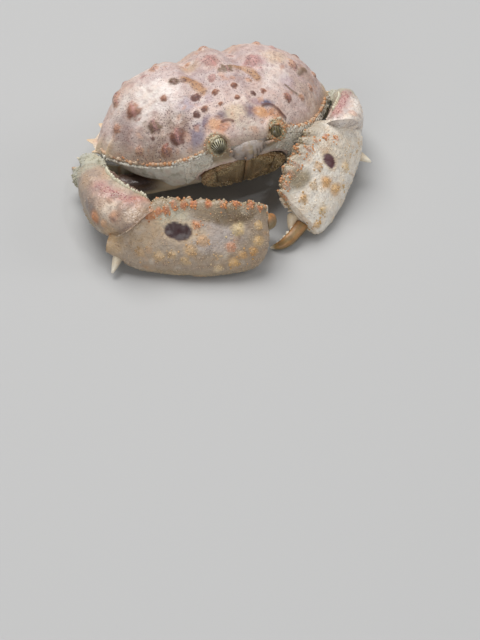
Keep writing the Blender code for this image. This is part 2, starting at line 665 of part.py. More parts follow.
def claw_parts(name):
    claw = CLAWS[name]
    hip, knee, elbow, wrist = (Vector(claw[k]) for k in ("hip", "knee", "elbow", "wrist"))
    side = claw["side"]
    hip_plane = Vector((side, -0.2, 0.1)).normalized()
    carpus_path = [Vector(p) for p in claw["carpus"]]
    knee_plane = bend_plane(hip, knee, elbow)
    elbow_plane = Vector(claw["elbow_normal"]).normalized()
    wrist_plane = Vector(claw["wrist_normal"]).normalized()
    finger_path = [Vector(p) for p in claw["finger"]]
    finger_plane = Vector(claw["finger_normal"]).normalized()
    parts = []
    along = (knee - hip).normalized()
    body = limb([hip - along * 2, hip.lerp(knee, 0.5), knee + along * 2], ARM_WIDTHS[0], ARM_WIDTHS[0],
                sides=10, steps=2)
    parts.append(("ischium", between(body, hip, hip_plane, knee, knee_plane), hip))
    along = (elbow - knee).normalized()
    body = limb([knee - along * 2, knee.lerp(elbow, 0.5), elbow + along * 6], ARM_WIDTHS[1], ARM_WIDTHS[1],
                sides=10, steps=3)
    root, tip, width = claw["arm_spine"]
    body = combine(body, [spine(root, tip, width, blunt=0.4)])
    parts.append(("merus", between(body, knee, knee_plane, elbow, elbow_plane), knee))
    body = limb(carpus_path, claw["carpus_widths"], claw["carpus_heights"], sides=14, steps=3, fullness=2.6)
    parts.append(("carpus", on_floor(between(body, elbow, elbow_plane, wrist, wrist_plane)), elbow))
    body = between(palm(claw), wrist, wrist_plane, finger_path[0], finger_plane)
    root, tip, width, blunt = claw["fixed_finger"]
    body = combine(body, [spine(root, tip, width, blunt=blunt, sides=8)])
    parts.append(("palm", on_floor(body), wrist))
    start = finger_path[0] - (finger_path[1] - finger_path[0]).normalized() * 1.5
    body = limb([start] + finger_path[1:], claw["finger_sizes"], claw["finger_sizes"], sides=10, steps=3)
    parts.append(("dactyl", on_floor(between(body, finger_path[0], finger_plane)), finger_path[0]))
    return [(f"claw_{name}_{part}", body, pivot) for part, body, pivot in parts], hip_plane


def sternum(stubs):
    body = limb([(0, -17.0, 6.6), (0, -12, 6.7), (0, 0, 6.7), (0, 15.5, 6.7)], (12, 20.5, 19, 15),
                (4.2, 4.8, 4.8, 4.8), sides=12, steps=2, fullness=4)
    pieces = []
    for at, plane, width, height in stubs:
        inner = Vector((at.x * 0.4, at.y * 0.96, 6.8))
        stub = limb([inner, inner.lerp(at, 0.5), at + (at - inner).normalized() * 2], (width, width, width),
                    (height, height, height), sides=6, steps=1)
        pieces.append(trim(stub, at - plane * GAP / 2, plane))
    body = combine(body, pieces)
    body = trim(body, Vector((0, 0, BELLY_Z - GAP)), Vector((0, 0, 1)))
    return trim(body, Vector((0, 0, STERNUM_FLOOR)), Vector((0, 0, -1)))


def build():
    random.seed(SEED)
    stubs = []
    for name in ("right", "left"):
        parts, hip_plane = claw_parts(name)
        for part, body, pivot in parts:
            place(body, part, CLAW, pivot)
        stubs.append((Vector(CLAWS[name]["hip"]), hip_plane, 6.2, 6.0))
    for number in LEGS:
        for side in (1, -1):
            parts, hip = leg(number, side)
            for part, body, pivot in parts:
                place(body, part, LIMB, pivot)
            stubs.append((mirrored(LEGS[number][0], side), hip, LEG_WIDTHS[0][0], LEG_HEIGHTS[0][0]))
    place(sternum(stubs), "sternum", UNDER)

    shell = combine(shell_body(), shell_spines() + shell_beads() + shell_knobs())
    cutters = [mouth_cutter(), tail_piece(TAIL_BASE, 2 * GAP)]
    for side, word in ((1, "left"), (-1, "right")):
        eye = (side * EYE_X, EYE_Y, EYE_Z)
        cutters.append(ball(eye, [EYE_RADIUS + GAP] * 3, 14, 10))
        place(ball(eye, [EYE_RADIUS] * 3, 14, 10), f"eye_{word}", EYE, eye)
        place(maxilliped(side), f"maxilliped_{word}", MOUTH, face_point(side * 12, 3, 0))
        for kind in FEELERS:
            cutters.append(feeler(kind, side, 2 * GAP))
            place(feeler(kind, side), f"{kind}_{word}", MOUTH, mirrored(FEELERS[kind][0], side))
    place(combine(shell, cutters, "DIFFERENCE"), "carapace", SHELL, (0, SHELL_CENTRE_Y, BELLY_Z))

    point, normal = Vector(TAIL_JOINT[0]), Vector(TAIL_JOINT[1]).normalized()
    flap = trim(tail_piece(TAIL_FLAP), point - normal * GAP / 2, normal)
    place(trim(flap, Vector((0, 0, STERNUM_FLOOR - GAP)), Vector((0, 0, 1))), "abdomen", UNDER, point)
    base = trim(tail_piece(TAIL_BASE), point + normal * GAP / 2, -normal)
    place(base, "abdomen_base", UNDER, TAIL_BASE[0][-1])


build()
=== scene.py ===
import bpy
import numpy as np
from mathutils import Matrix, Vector
from numpy.linalg import norm


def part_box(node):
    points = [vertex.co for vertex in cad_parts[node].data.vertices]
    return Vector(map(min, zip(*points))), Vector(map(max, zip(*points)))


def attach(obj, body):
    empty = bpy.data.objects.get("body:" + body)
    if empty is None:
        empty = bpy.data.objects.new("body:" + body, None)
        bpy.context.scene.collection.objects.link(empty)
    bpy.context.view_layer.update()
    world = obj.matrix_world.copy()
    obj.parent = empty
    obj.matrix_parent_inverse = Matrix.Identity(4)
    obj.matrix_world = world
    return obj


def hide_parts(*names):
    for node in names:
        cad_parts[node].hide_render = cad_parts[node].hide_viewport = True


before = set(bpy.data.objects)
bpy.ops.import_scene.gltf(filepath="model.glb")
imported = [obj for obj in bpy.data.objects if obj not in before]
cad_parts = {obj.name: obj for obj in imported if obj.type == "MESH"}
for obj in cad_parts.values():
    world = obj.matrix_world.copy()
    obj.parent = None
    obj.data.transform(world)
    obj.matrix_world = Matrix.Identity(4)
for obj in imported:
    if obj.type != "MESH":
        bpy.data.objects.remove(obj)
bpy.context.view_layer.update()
print("frame loaded:", len(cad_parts), "nodes")

# Shapes are in millimetres about the crab's middle: it faces -Y, its left is +X, the floor is z = 0.
# The place of the frame's eyes moves them into the row's frame.
millimetre = 0.001
eyesMiddle = np.array((0, -27, 29.2))
eyeCorners = [np.array(corner) for side in ("left", "right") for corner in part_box("eye_" + side)]
rowShift = sum(eyeCorners) / len(eyeCorners) - eyesMiddle * millimetre
chance = np.random.default_rng(23)
sides = {"left": 1, "right": -1}


# number helpers, all on whole arrays

def unit(vectors):
    vectors = np.asarray(vectors, float)
    return vectors / np.maximum(norm(vectors, axis=-1, keepdims=True), 1e-9)


def ramp(low, high, value):
    t = np.clip((value - low) / (high - low), 0, 1)
    return t * t * (3.0 - 2.0 * t)


def cubic(a, b, c, d, t):
    # a cubic from b to c whose slope at each end is half the way between its neighbours
    bend = (2 * a - 5 * b + 4 * c - d) * t ** 2
    return 0.5 * (2 * b + (c - a) * t + bend + (3 * b - a - 3 * c + d) * t ** 3)


def curveThrough(points, count):
    # a smooth open curve through the points, read at an even count of places
    p = np.asarray(points, float)
    p = p[:, None] if p.ndim == 1 else p
    q = np.vstack([2 * p[0] - p[1], p, 2 * p[-1] - p[-2]])
    u = np.linspace(0, len(p) - 1, count)
    k = np.minimum(u.astype(int), len(p) - 2)
    return cubic(q[k], q[k + 1], q[k + 2], q[k + 3], (u - k)[:, None])


def loopThrough(points, count):
    # the same curve, closed on itself
    p = np.asarray(points, float)
    u = np.linspace(0, len(p), count, endpoint=False)
    k = u.astype(int)
    a, b, c, d = (p[(k + shift) % len(p)] for shift in (-1, 0, 1, 2))
    return cubic(a, b, c, d, (u - k)[:, None])


def softNoise(points, cell, seed=0):
    # random values on a lattice, blended smoothly between its corners; 0 to 1
    q = points / cell
    base = np.floor(q).astype(np.int64)
    t = q - base
    t = t * t * (3 - 2 * t)
    total = np.zeros(points.shape[:-1])
    for corner in np.ndindex(2, 2, 2):
        i, j, k = (base[..., axis] + corner[axis] for axis in range(3))
        mixed = (i * 73856093) ^ (j * 19349663) ^ (k * 83492791) ^ (seed * 26544357 + 91)
        mixed = (mixed ^ (mixed >> 13)) * 12741261
        value = ((mixed ^ (mixed >> 16)) & 65535) / 65535.0
        share = np.ones(total.shape)
        for axis in range(3):
            share = share * (t[..., axis] if corner[axis] else 1 - t[..., axis])
        total += value * share
    return total


def fullTurn(count):
    return np.linspace(0, 2 * np.pi, count, endpoint=False)


def noise(points, cell, seed=0):
    # three sizes of noise added up, about -0.5 to 0.5
    return (0.55 * softNoise(points, cell, seed) + 0.3 * softNoise(points, cell / 2.1, seed + 1)
            + 0.15 * softNoise(points, cell / 4.3, seed + 2) - 0.5)


def gridNormals(grid):
    # the cross product of the steps along and around, turned outward
    along = np.gradient(grid, axis=0)
    around = np.roll(grid, -1, axis=1) - np.roll(grid, 1, axis=1)
    normal = unit(np.cross(around, along))
    outward = ((grid - grid.mean((0, 1))) * normal).sum()
    return normal if outward > 0 else -normal


def knobRise(points, places):
    # rounded knobs: height times (1 - distance^2 / radius^2)^1.5 inside each one's radius
    rise = np.zeros(points.shape[:-1])
    for x, y, z, width, height in places:
        far = ((points - (x, y, z)) ** 2).sum(-1) / (width / 2) ** 2
        rise = np.maximum(rise, height * np.clip(1 - far, 0, 1) ** 1.5)
    return rise


def patch(points, place, radius, wander=0, soft=0.3):
    # 1 inside a patch, 0 outside; wander moves its edge; the radius may differ along x, y and z
    far = norm((points - place) / radius, axis=-1) + wander
    return 1 - ramp(1 - soft, 1 + soft, far)


def streak(points, path, width, wander=0, soft=0.5):
    # 1 near a line through the path's points, 0 further than half its width
    line = curveThrough(path, 4 * len(path))
    far = np.full(points.shape[:-1], 1e9)
    for a, b in zip(line[:-1], line[1:]):
        t = np.clip(((points - a) @ (b - a)) / ((b - a) @ (b - a)), 0, 1)
        far = np.minimum(far, norm(points - a - t[..., None] * (b - a), axis=-1))
    return 1 - ramp(1 - soft, 1 + soft, far / (width / 2) + wander)


def oval(points, place, axis, long, short, wander=0, soft=0.12):
    # 1 inside a spindle about an axis
    away = points - place
    along = away @ unit(axis)
    aside = np.sqrt(np.maximum((away ** 2).sum(-1) - along ** 2, 0))
    return 1 - ramp(1 - soft, 1 + soft, np.hypot(along / long, aside / short) + wander)


def tone(red, green, blue):
    # a colour as it looks, 0 to 255, made linear
    value = np.array((red, green, blue)) / 255
    return np.where(value <= 0.04045, value / 12.92, ((value + 0.055) / 1.055) ** 2.4)


def asTone(colour):
    return tone(*colour) if isinstance(colour, tuple) else colour


def allOver(points, colour):
    return np.zeros(points.shape) + tone(*colour)


def paintOver(paint, colour, mask):
    return paint + (asTone(colour) - paint) * np.asarray(mask)[..., None]


def layered(paint, *layers):
    for colour, mask in layers:
        paint = paintOver(paint, colour, mask)
    return paint


def blend(first, second, share):
    return asTone(first) * (1 - share) + asTone(second) * share


def cloud(points, low, high, cell, seed):
    # patches of noise: 0 where it is below the low level, 1 above the high one
    return ramp(low, high, noise(points, cell, seed))


def clouded(paint, points, clouds):
    # patches of noise laid over the paint, each a colour, its strength and what cloud asks for
    for colour, strength, *kind in clouds:
        paint = paintOver(paint, colour, strength * cloud(points, *kind))
    return paint


def nearestOf(points, places):
    # for each place the index of the point that is nearest to it
    return np.array([((points - place) ** 2).sum(1).argmin() for place in places])


# surfaces: each part of a piece is points, faces and the colour, speckle and grain at each point

def turnedOut(points, faces):
    # faces in the order that encloses a positive volume
    volume = 0.0
    for group in faces:
        a = points[group[:, 0]]
        for k in range(1, group.shape[1] - 1):
            volume += (a * np.cross(points[group[:, k]], points[group[:, k + 1]])).sum()
    return faces if volume > 0 else [group[:, ::-1] for group in faces]


def tubeFaces(rings, columns):
    # quads between the rings, and triangles from both end rings to two more points that follow the rings
    r, c = np.arange(rings - 1)[:, None] * columns, np.arange(columns)[None, :]
    n = (c + 1) % columns
    quads = np.stack([r + c, r + n, r + columns + n, r + columns + c], axis=-1).reshape(-1, 4)
    ring, following, end = c[0], n[0], (rings - 1) * columns
    first = np.stack([following, ring, np.full(columns, rings * columns)], axis=1)
    last = np.stack([end + ring, end + following, np.full(columns, rings * columns + 1)], axis=1)
    return [quads, np.vstack([first, last])]


def skin(grid, paint, speck=0, grain=1):
    # a closed surface over rings of points; each end closes on the middle of its ring
    rings, columns = grid.shape[:2]
    points = np.vstack([grid.reshape(-1, 3), grid[0].mean(0), grid[-1].mean(0)])
    made = {"points": points, "faces": turnedOut(points, tubeFaces(rings, columns))}
    for name, value, width in (("paint", paint, 3), ("speck", speck, 1), ("grain", grain, 1)):
        value = np.asarray(value, float)
        value = value[..., None] if width == 1 else value
        value = np.broadcast_to(value, (rings, columns, width))
        made[name] = np.vstack([value.reshape(-1, width), value[0].mean(0), value[-1].mean(0)])
    return made


def smallForms(roots, directions, lengths, widths, rootTone, tipTone, outline, around=7, speck=0):
    # many cones or beads at once; outline gives the radius share at even heights from root to tip
    roots, directions = np.asarray(roots, float), unit(directions)
    count, rings = len(roots), len(outline)
    lengths, widths = np.broadcast_to(lengths, count), np.broadcast_to(widths, count)
    helper = np.where(np.abs(directions[:, 2:]) < 0.9, (0, 0, 1), (1, 0, 0))
    across = unit(np.cross(directions, helper))
    other = np.cross(directions, across)
    height = np.linspace(0, 1, rings)
    turn = fullTurn(around)
    circle = across[:, None] * np.cos(turn)[None, :, None] + other[:, None] * np.sin(turn)[None, :, None]
    middle = roots[:, None] + directions[:, None] * (lengths[:, None] * height)[..., None]
    radius = (widths[:, None] / 2 * np.array(outline))[:, :, None, None]
    rows = middle[:, :, None] + circle[:, None] * radius
    points = np.concatenate([rows.reshape(count, -1, 3), middle[:, :1], middle[:, -1:]], axis=1)
    one = turnedOut(points[0] - points[0].mean(0), tubeFaces(rings, around))
    step = np.arange(count)[:, None, None] * points.shape[1]
    blend = np.concatenate([np.repeat(height, around), (0, 1)])[None, :, None]
    rootTone, tipTone = (np.broadcast_to(asTone(c), (count, 3))[:, None] for c in (rootTone, tipTone))
    total = count * points.shape[1]
    faces = [(group[None] + step).reshape(-1, group.shape[1]) for group in one]
    return {"points": points.reshape(-1, 3), "faces": faces,
            "paint": (rootTone + (tipTone - rootTone) * blend).reshape(-1, 3),
            "speck": np.full((total, 1), float(speck)), "grain": np.full((total, 1), 0.4)}


beadOutline = (0.9, 1, 0.85, 0.45)
fullBead = (0.8, 1, 0.96, 0.78, 0.42)


def granules(points, normals, sizes, rootTone, tipTone, sunk=0.15, tall=0.7, around=6, speck=0):
    # beads that stand on a surface, a little sunk into it
    return smallForms(points - normals * sunk, normals, sizes * tall, sizes, rootTone, tipTone, beadOutline,
                      around, speck)


def makePiece(name, parts, horn, nodes):
    # one mesh of all the parts, in metres, with its paint and the solids that it stands for
    points = np.vstack([part["points"] for part in parts]) * millimetre + rowShift
    corners, sizes, start = [], [], 0
    for part in parts:
        for group in part["faces"]:
            corners.append((group + start).ravel())
            sizes.append(np.full(len(group), group.shape[1]))
        start += len(part["points"])
    corners, sizes = np.concatenate(corners), np.concatenate(sizes)
    mesh = bpy.data.meshes.new(name)
    mesh.vertices.add(len(points))
    mesh.vertices.foreach_set("co", points.astype(np.float32).ravel())
    mesh.loops.add(len(corners))
    mesh.loops.foreach_set("vertex_index", corners.astype(np.int32))
    mesh.polygons.add(len(sizes))
    mesh.polygons.foreach_set("loop_start", np.concatenate([[0], np.cumsum(sizes)[:-1]]).astype(np.int32))
    mesh.polygons.foreach_set("use_smooth", np.ones(len(sizes), bool))
    mesh.update(calc_edges=True)
    mesh.validate()
    for field, kind, key in (("paint", "FLOAT_COLOR", "color"), ("speck", "FLOAT", "value"),
                             ("grain", "FLOAT", "value")):
        value = np.vstack([part[field] for part in parts])
        if field == "paint":
            value = np.hstack([np.clip(value, 0, 1), np.ones((len(value), 1))])
        layer = mesh.attributes.new(field, kind, "POINT")
        layer.data.foreach_set(key, value.astype(np.float32).ravel())
    mesh.materials.append(materials[horn])
    piece = bpy.data.objects.new(name, mesh)
    bpy.context.scene.collection.objects.link(piece)
    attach(piece, "root")
    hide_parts(*nodes)
    print("made", name, len(points), "points")
    return piece


# materials

def nodeIn(tree, kind, settings=None, inputs=None):
    # a shader node; each input takes a value or another node's output, and the nodes lie in rows of eight
    node = tree.nodes.new("ShaderNode" + kind)
    row, column = divmod(len(tree.nodes), 8)
    node.location = (200 * column - 1500, 600 - 300 * row)
    for key, value in (settings or {}).items():
        setattr(node, key, value)
    for key, value in (inputs or {}).items():
        if isinstance(value, bpy.types.NodeSocket):
            tree.links.new(value, node.inputs[key])
        else:
            node.inputs[key].default_value = value
    return node


def noiseIn(tree, place, scale, detail, roughness):
    pattern = {"Vector": place, "Scale": scale, "Detail": detail, "Roughness": roughness}
    return nodeIn(tree, "TexNoise", None, pattern).outputs["Fac"]


def mathIn(tree, operation, first, second=0.5, clamped=False):
    settings = {"operation": operation, "use_clamp": clamped}
    return nodeIn(tree, "Math", settings, {0: first, 1: second}).outputs[0]


def rangeIn(tree, value, fromRange=(0, 1), toRange=(0, 1)):
    (fromMin, fromMax), (toMin, toMax) = fromRange, toRange
    inputs = {"Value": value, "From Min": fromMin, "From Max": fromMax, "To Min": toMin, "To Max": toMax}
    return nodeIn(tree, "MapRange", None, inputs).outputs["Result"]


def mixIn(tree, amount, first, second, kind="MIX"):
    # two colours mixed; a colour is another node's output or a linear triple
    first, second = (c if isinstance(c, bpy.types.NodeSocket) else (*c, 1) for c in (first, second))
    settings = {"data_type": "RGBA", "blend_type": kind}
    return nodeIn(tree, "Mix", settings, {"Factor": amount, "A": first, "B": second}).outputs["Result"]


def newGroup(name, inputs, output):
    # a shader node group of floats; an input without a value is a vector
    tree = bpy.data.node_groups.new(name, "ShaderNodeTree")
    for socketName, value in inputs.items():
        kind = "NodeSocketVector" if value is None else "NodeSocketFloat"
        socket = tree.interface.new_socket(socketName, in_out="INPUT", socket_type=kind)
        if value is not None:
            socket.default_value = value
    tree.interface.new_socket(output, in_out="OUTPUT", socket_type="NodeSocketFloat")
    return tree, tree.nodes.new("NodeGroupInput").outputs, tree.nodes.new("NodeGroupOutput").inputs[output]


def speckleGroup():
    # round dots of uneven size at the cells of a Voronoi pattern; Amount shrinks them to nothing
    inputs = {"Vector": None, "Scale": 1000, "Size": 0.4, "Amount": 1.0}
    tree, given, out = newGroup("fineSpeckle", inputs, "Mask")
    pattern = {"Vector": given["Vector"], "Scale": given["Scale"]}
    cells = nodeIn(tree, "TexVoronoi", {"feature": "F1"}, pattern)
    uneven = nodeIn(tree, "SeparateColor", None, {"Color": cells.outputs["Color"]})
    fuller = rangeIn(tree, uneven.outputs["Red"], toRange=(0.4, 1))
    reach = mathIn(tree, "MULTIPLY", fuller, given["Size"])
    sized = mathIn(tree, "MULTIPLY", reach, given["Amount"])
    depth = mathIn(tree, "SUBTRACT", sized, cells.outputs["Distance"])
    tree.links.new(mathIn(tree, "MULTIPLY", depth, 7, clamped=True), out)
    return tree


def grainGroup():
    # the height of packed granules with finer noise over them
    inputs = {"Vector": None, "Scale": 1400, "Strength": 1.0}
    tree, given, out = newGroup("packedGrain", inputs, "Height")
    pattern = {"Vector": given["Vector"], "Scale": given["Scale"], "Smoothness": 0.6}
    cells = nodeIn(tree, "TexVoronoi", {"feature": "SMOOTH_F1"}, pattern)
    half = mathIn(tree, "MULTIPLY", given["Scale"], 0.45)
    finer = noiseIn(tree, given["Vector"], half, 3, 0.6)
    dome = mathIn(tree, "SUBTRACT", 1, cells.outputs["Distance"])
    both = mathIn(tree, "ADD", dome, finer)
    tree.links.new(mathIn(tree, "MULTIPLY", both, given["Strength"]), out)
    return tree


def wetGroup():
    # roughness that wanders between a wet and a dry value
    inputs = {"Vector": None, "Scale": 160, "Wet": 0.2, "Dry": 0.5}
    tree, given, out = newGroup("wetFilm", inputs, "Roughness")
    drift = noiseIn(tree, given["Vector"], given["Scale"], 4, 0.65)
    spread = rangeIn(tree, drift, (0.35, 0.65), (given["Wet"], given["Dry"]))
    tree.links.new(spread, out)
    return tree


groups = {"speckle": speckleGroup(), "grain": grainGroup(), "wet": wetGroup()}


def newMaterial(name):
    material = bpy.data.materials.new(name)
    material.use_nodes = True
    return material, material.node_tree, material.node_tree.nodes["Principled BSDF"]


def hornMaterial(name, look):
    # painted horn: the piece's paint, shaded by mottling and dark specks, under a wet film
    material, tree, shader = newMaterial(name)
    link = tree.links.new
    shader.inputs["Coat Weight"].default_value = look["coat"]
    shader.inputs["Coat Roughness"].default_value = look["coatRoughness"]
    shader.inputs["IOR"].default_value = 1.5
    place = nodeIn(tree, "TexCoord").outputs["Object"]
    paint, speck, grain = (nodeIn(tree, "Attribute", {"attribute_name": field})
                           for field in ("paint", "speck", "grain"))

    mottle = noiseIn(tree, place, look["mottleScale"], 6, 0.7)
    shades = (1 - look["mottle"], 1 + look["mottle"])
    spread = rangeIn(tree, mottle, (0.3, 0.7), shades)
    shaded = nodeIn(tree, "VectorMath", {"operation": "SCALE"},
                    {0: paint.outputs["Color"], "Scale": spread})
    colour = shaded.outputs[0]
    for scale, shade, strength in look["tints"]:
        drift = noiseIn(tree, place, scale, 5, 0.65)
        amount = rangeIn(tree, drift, (0.45, 0.68), (0, strength))
        colour = mixIn(tree, amount, colour, shade, "MULTIPLY")
    for scale, size, shade, strength in look["specks"]:
        pattern = {"Vector": place, "Scale": scale, "Size": size, "Amount": speck.outputs["Fac"]}
        dots = nodeIn(tree, "Group", {"node_tree": groups["speckle"]}, pattern)
        amount = mathIn(tree, "MULTIPLY", dots.outputs["Mask"], strength)
        colour = mixIn(tree, amount, colour, tone(*shade))
    link(colour, shader.inputs["Base Color"])

    pattern = {"Vector": place, "Scale": look["wetScale"], "Wet": look["wet"], "Dry": look["dry"]}
    film = nodeIn(tree, "Group", {"node_tree": groups["wet"]}, pattern)
    link(film.outputs["Roughness"], shader.inputs["Roughness"])
    pattern = {"Vector": place, "Scale": look["grainScale"], "Strength": grain.outputs["Fac"]}
    relief = nodeIn(tree, "Group", {"node_tree": groups["grain"]}, pattern)
    height = {"Strength": 1, "Distance": look["grainDepth"], "Height": relief.outputs["Height"]}
    bump = nodeIn(tree, "Bump", None, height)
    link(bump.outputs["Normal"], shader.inputs["Normal"])
    return material


looks = {
    "shellHorn": {"coat": 0.12, "coatRoughness": 0.35, "mottle": 0.1, "mottleScale": 420,
                  "tints": ((330, (0.9, 0.74, 0.66), 0.55), (900, (0.84, 0.76, 0.8), 0.6)),
                  "specks": ((1620, 0.42, (104, 78, 80), 0.66), (1000, 0.24, (88, 62, 58), 0.6)),
                  "wet": 0.42, "dry": 0.72, "wetScale": 120, "grainScale": 1500, "grainDepth": 0.00014},
    "clawHorn": {"coat": 0.22, "coatRoughness": 0.24, "mottle": 0.13, "mottleScale": 380,
                 "tints": ((300, (0.95, 0.8, 0.62), 0.5), (800, (0.84, 0.8, 0.82), 0.55)),
                 "specks": ((1400, 0.42, (118, 94, 90), 0.6), (640, 0.2, (136, 78, 70), 0.6)),
                 "wet": 0.3, "dry": 0.6, "wetScale": 120, "grainScale": 1500, "grainDepth": 0.00016},
    "limbHorn": {"coat": 0.3, "coatRoughness": 0.2, "mottle": 0.08, "mottleScale": 350,
                 "tints": ((260, (0.95, 0.86, 0.7), 0.5), (700, (0.92, 0.88, 0.86), 0.5)),
                 "specks": ((1300, 0.28, (160, 124, 84), 0.5),),
                 "wet": 0.22, "dry": 0.5, "wetScale": 140, "grainScale": 2200, "grainDepth": 0.00006},
    "underHorn": {"coat": 0.2, "coatRoughness": 0.25, "mottle": 0.06, "mottleScale": 300,
                  "tints": ((240, (0.96, 0.88, 0.78), 0.5), (700, (0.92, 0.9, 0.94), 0.5)),
                  "specks": ((1300, 0.25, (176, 140, 104), 0.4),),
                  "wet": 0.28, "dry": 0.55, "wetScale": 120, "grainScale": 2000, "grainDepth": 0.00006},
    "mouthHorn": {"coat": 0.25, "coatRoughness": 0.2, "mottle": 0.22, "mottleScale": 520,
                  "tints": ((420, (0.8, 0.62, 0.44), 0.6), (900, (0.72, 0.72, 0.7), 0.6)),
                  "specks": ((1700, 0.34, (76, 58, 42), 0.6),),
                  "wet": 0.18, "dry": 0.5, "wetScale": 200, "grainScale": 2400, "grainDepth": 0.00014}}
materials = {name: hornMaterial(name, look) for name, look in looks.items()}
print("materials made:", len(materials))


# shapes that claws, limbs and plates share

def ringsAlong(path, across, rise, wide, high, power, columns):
    # ovals across a path; a power below 1 squares them off
    angle = fullTurn(columns)
    cos, sin = (np.sign(wave) * np.abs(wave) ** power for wave in (np.cos(angle), np.sin(angle)))
    return (path[:, None] + across[:, None] * (cos * wide[:, None] / 2)[..., None]
            + rise[:, None] * (sin * high[:, None] / 2)[..., None])


def tubeGrid(points, widths, heights, rings, columns, up=(0, 0, 1), fullness=2):
    # oval rings along a smooth path; the widths and heights are read evenly along it
    path = curveThrough(points, rings)
    wide, high = (np.interp(np.linspace(0, 1, rings), np.linspace(0, 1, len(sizes)), sizes)
                  if len(sizes) > 12 else curveThrough(sizes, rings)[:, 0] for sizes in (widths, heights))
    tangent = unit(np.gradient(path, axis=0))
    side = unit(np.cross(tangent, np.asarray(up, float)))
    return ringsAlong(path, side, np.cross(side, tangent), wide, high, 2 / fullness, columns)


def roundEnds(grid, first=0, last=0):
    # the rings at each end shrink about their middle, so that the end closes round
    count = len(grid)
    row = np.arange(count)
    share = np.ones(count)
    if first:
        t = (first - row) / (first + 0.02)
        share = np.where(t > 0, np.sqrt(np.clip(1 - t ** 2, 0, 1)), share)
    if last:
        t = (row - (count - 1 - last)) / (last + 0.02)
        share = np.where(t > 0, np.sqrt(np.clip(1 - t ** 2, 0, 1)), share)
    middle = grid.mean(axis=1, keepdims=True)
    return middle + (grid - middle) * share[:, None, None]


# the shell: a polar grid from the top of the dome to its edge, then under it to the middle of the belly
shellMiddleY, domeTop, bellyZ, brimThickness = -1, 38.8, 9, 2.0
shellEdge = (
    (0, -28.7, 28.9), (5, -28.7, 28.9), (9, -27.3, 28.3), (14, -26, 26.1), (21, -22.8, 21.9),
    (28.2, -17.3, 18.7), (35.2, -9.1, 16.2), (39.9, -1, 15), (41.2, 5.6, 13.4), (39.6, 10.4, 12.4),
    (35.4, 15.6, 12), (29.8, 21.4, 12.4), (21.8, 26.2, 13.6), (12, 28.2, 14.4), (0, 28.7, 14.8))
# height changes of the dome: centre x and y, spread along x and y, rise; x above 0 is mirrored too
shellLobes = (
    (21, 3, 9, 12, 2), (0, -9, 5.5, 7, 0.7), (0, 12, 4, 7, 1),
    (8, 8, 2.3, 13, -2.2), (12, -11, 6, 2.2, -0.9), (24, -16, 6, 3, -0.6),
    (-31, 11, 6, 7, 2.4))
underSteps = (0, 0.14, 0.3, 0.48, 0.66, 0.84, 1)
faceShares = (1, 0.975, 0.92, 0.85, 0.76, 0.4, 0)
sideShares = (1, 0.985, 0.955, 0.89, 0.62, 0.38, 0)
# spines of the rear edge: angle about the shell's centre, length and width
edgeSpines = (
    (82, 3.8, 4), (65.5, 4.2, 4.4), (51, 3.8, 4.6), (39, 2.2, 4), (27.5, 1.8, 3.6),
    (15, 2.6, 3.6),
    (5, 2.2, 3), (-3.5, 1.4, 2.6))
capTones = {"rust": (158, 100, 66), "dark": (104, 62, 46), "brown": (122, 100, 72),
            "orange": (206, 148, 106), "pink": (204, 154, 144), "ochre": (182, 132, 78)}
# knobs of the dome: x, y, width, rise and cap
shellKnobs = (
    (-31.6, 7.7, 4.8, 0.9, "rust"), (-32.4, 4.6, 4, 0.8, "orange"), (-29.5, -3.9, 5.4, 1.1, "rust"),
    (-25.4, -11.8, 5.2, 0.7, "brown"), (-20.2, -18.7, 5.4, 0.6, "dark"), (-24.2, -18.9, 4.2, 0.6, "rust"),
    (-31.1, -12.5, 3.6, 0.9, "orange"), (-26.6, -13.9, 1.6, 0.3, "dark"), (-19.9, -7.1, 2.2, 0.5, "rust"),
    (-10.7, -10.8, 3.2, 0.7, "dark"), (-12.8, -16.9, 2.6, 0.6, "dark"), (-10, -16.7, 2.8, 0.8, "rust"),
    (-4.5, -12.2, 2.6, 0.6, "rust"), (-3.4, -6.2, 3.2, 0.6, "pink"), (-1, 2.2, 6.4, 1, "pink"),
    (2.4, -4, 4.4, 0.4, "brown"), (-15.3, -3, 3.4, 0.5, "brown"), (-4.8, -17.4, 1.6, 0.5, "rust"),
    (2, -12, 2.6, 0.7, "rust"), (6.5, -16, 2.2, 0.7, "dark"), (1, -17, 1.8, 0.5, "rust"),
    (7.9, -9.7, 2.2, 0.6, "orange"), (18.3, -16.7, 4, 0.9, "rust"), (25.8, -3.8, 4.8, 1, "orange"),
    (12.5, -2.5, 6, 0.9, "pink"), (10.4, -15.1, 2.2, 0.5, "rust"), (31.6, 6.9, 4.4, 1, "rust"),
    (30.2, -9, 3.2, 0.7, "orange"), (24.6, -14.6, 3, 0.6, "orange"), (-18, 8, 3.6, 0.9, "orange"),
    (18, 8, 3.4, 0.9, "orange"), (-26, 15, 3.6, 0.9, "pink"), (26, 15, 3.6, 0.9, "pink"),
    (-14, 18, 3.8, 1, "orange"), (14, 18, 3.6, 1, "orange"), (0.6, 12, 3.6, 0.9, "orange"),
    (-0.4, 21, 3.2, 0.8, "orange"), (-7, 6, 2.6, 0.6, "orange"), (7.4, 5, 2.6, 0.6, "pink"),
    (-35.2, -2.6, 3, 0.7, "orange"), (34.8, -1.6, 3, 0.7, "orange"), (-35.6, 12, 2.8, 0.7, "pink"),
    (35.4, 12.4, 2.8, 0.7, "pink"), (-22.4, 5.2, 3, 0.6, "pink"), (22.2, 4.8, 3, 0.6, "pink"))
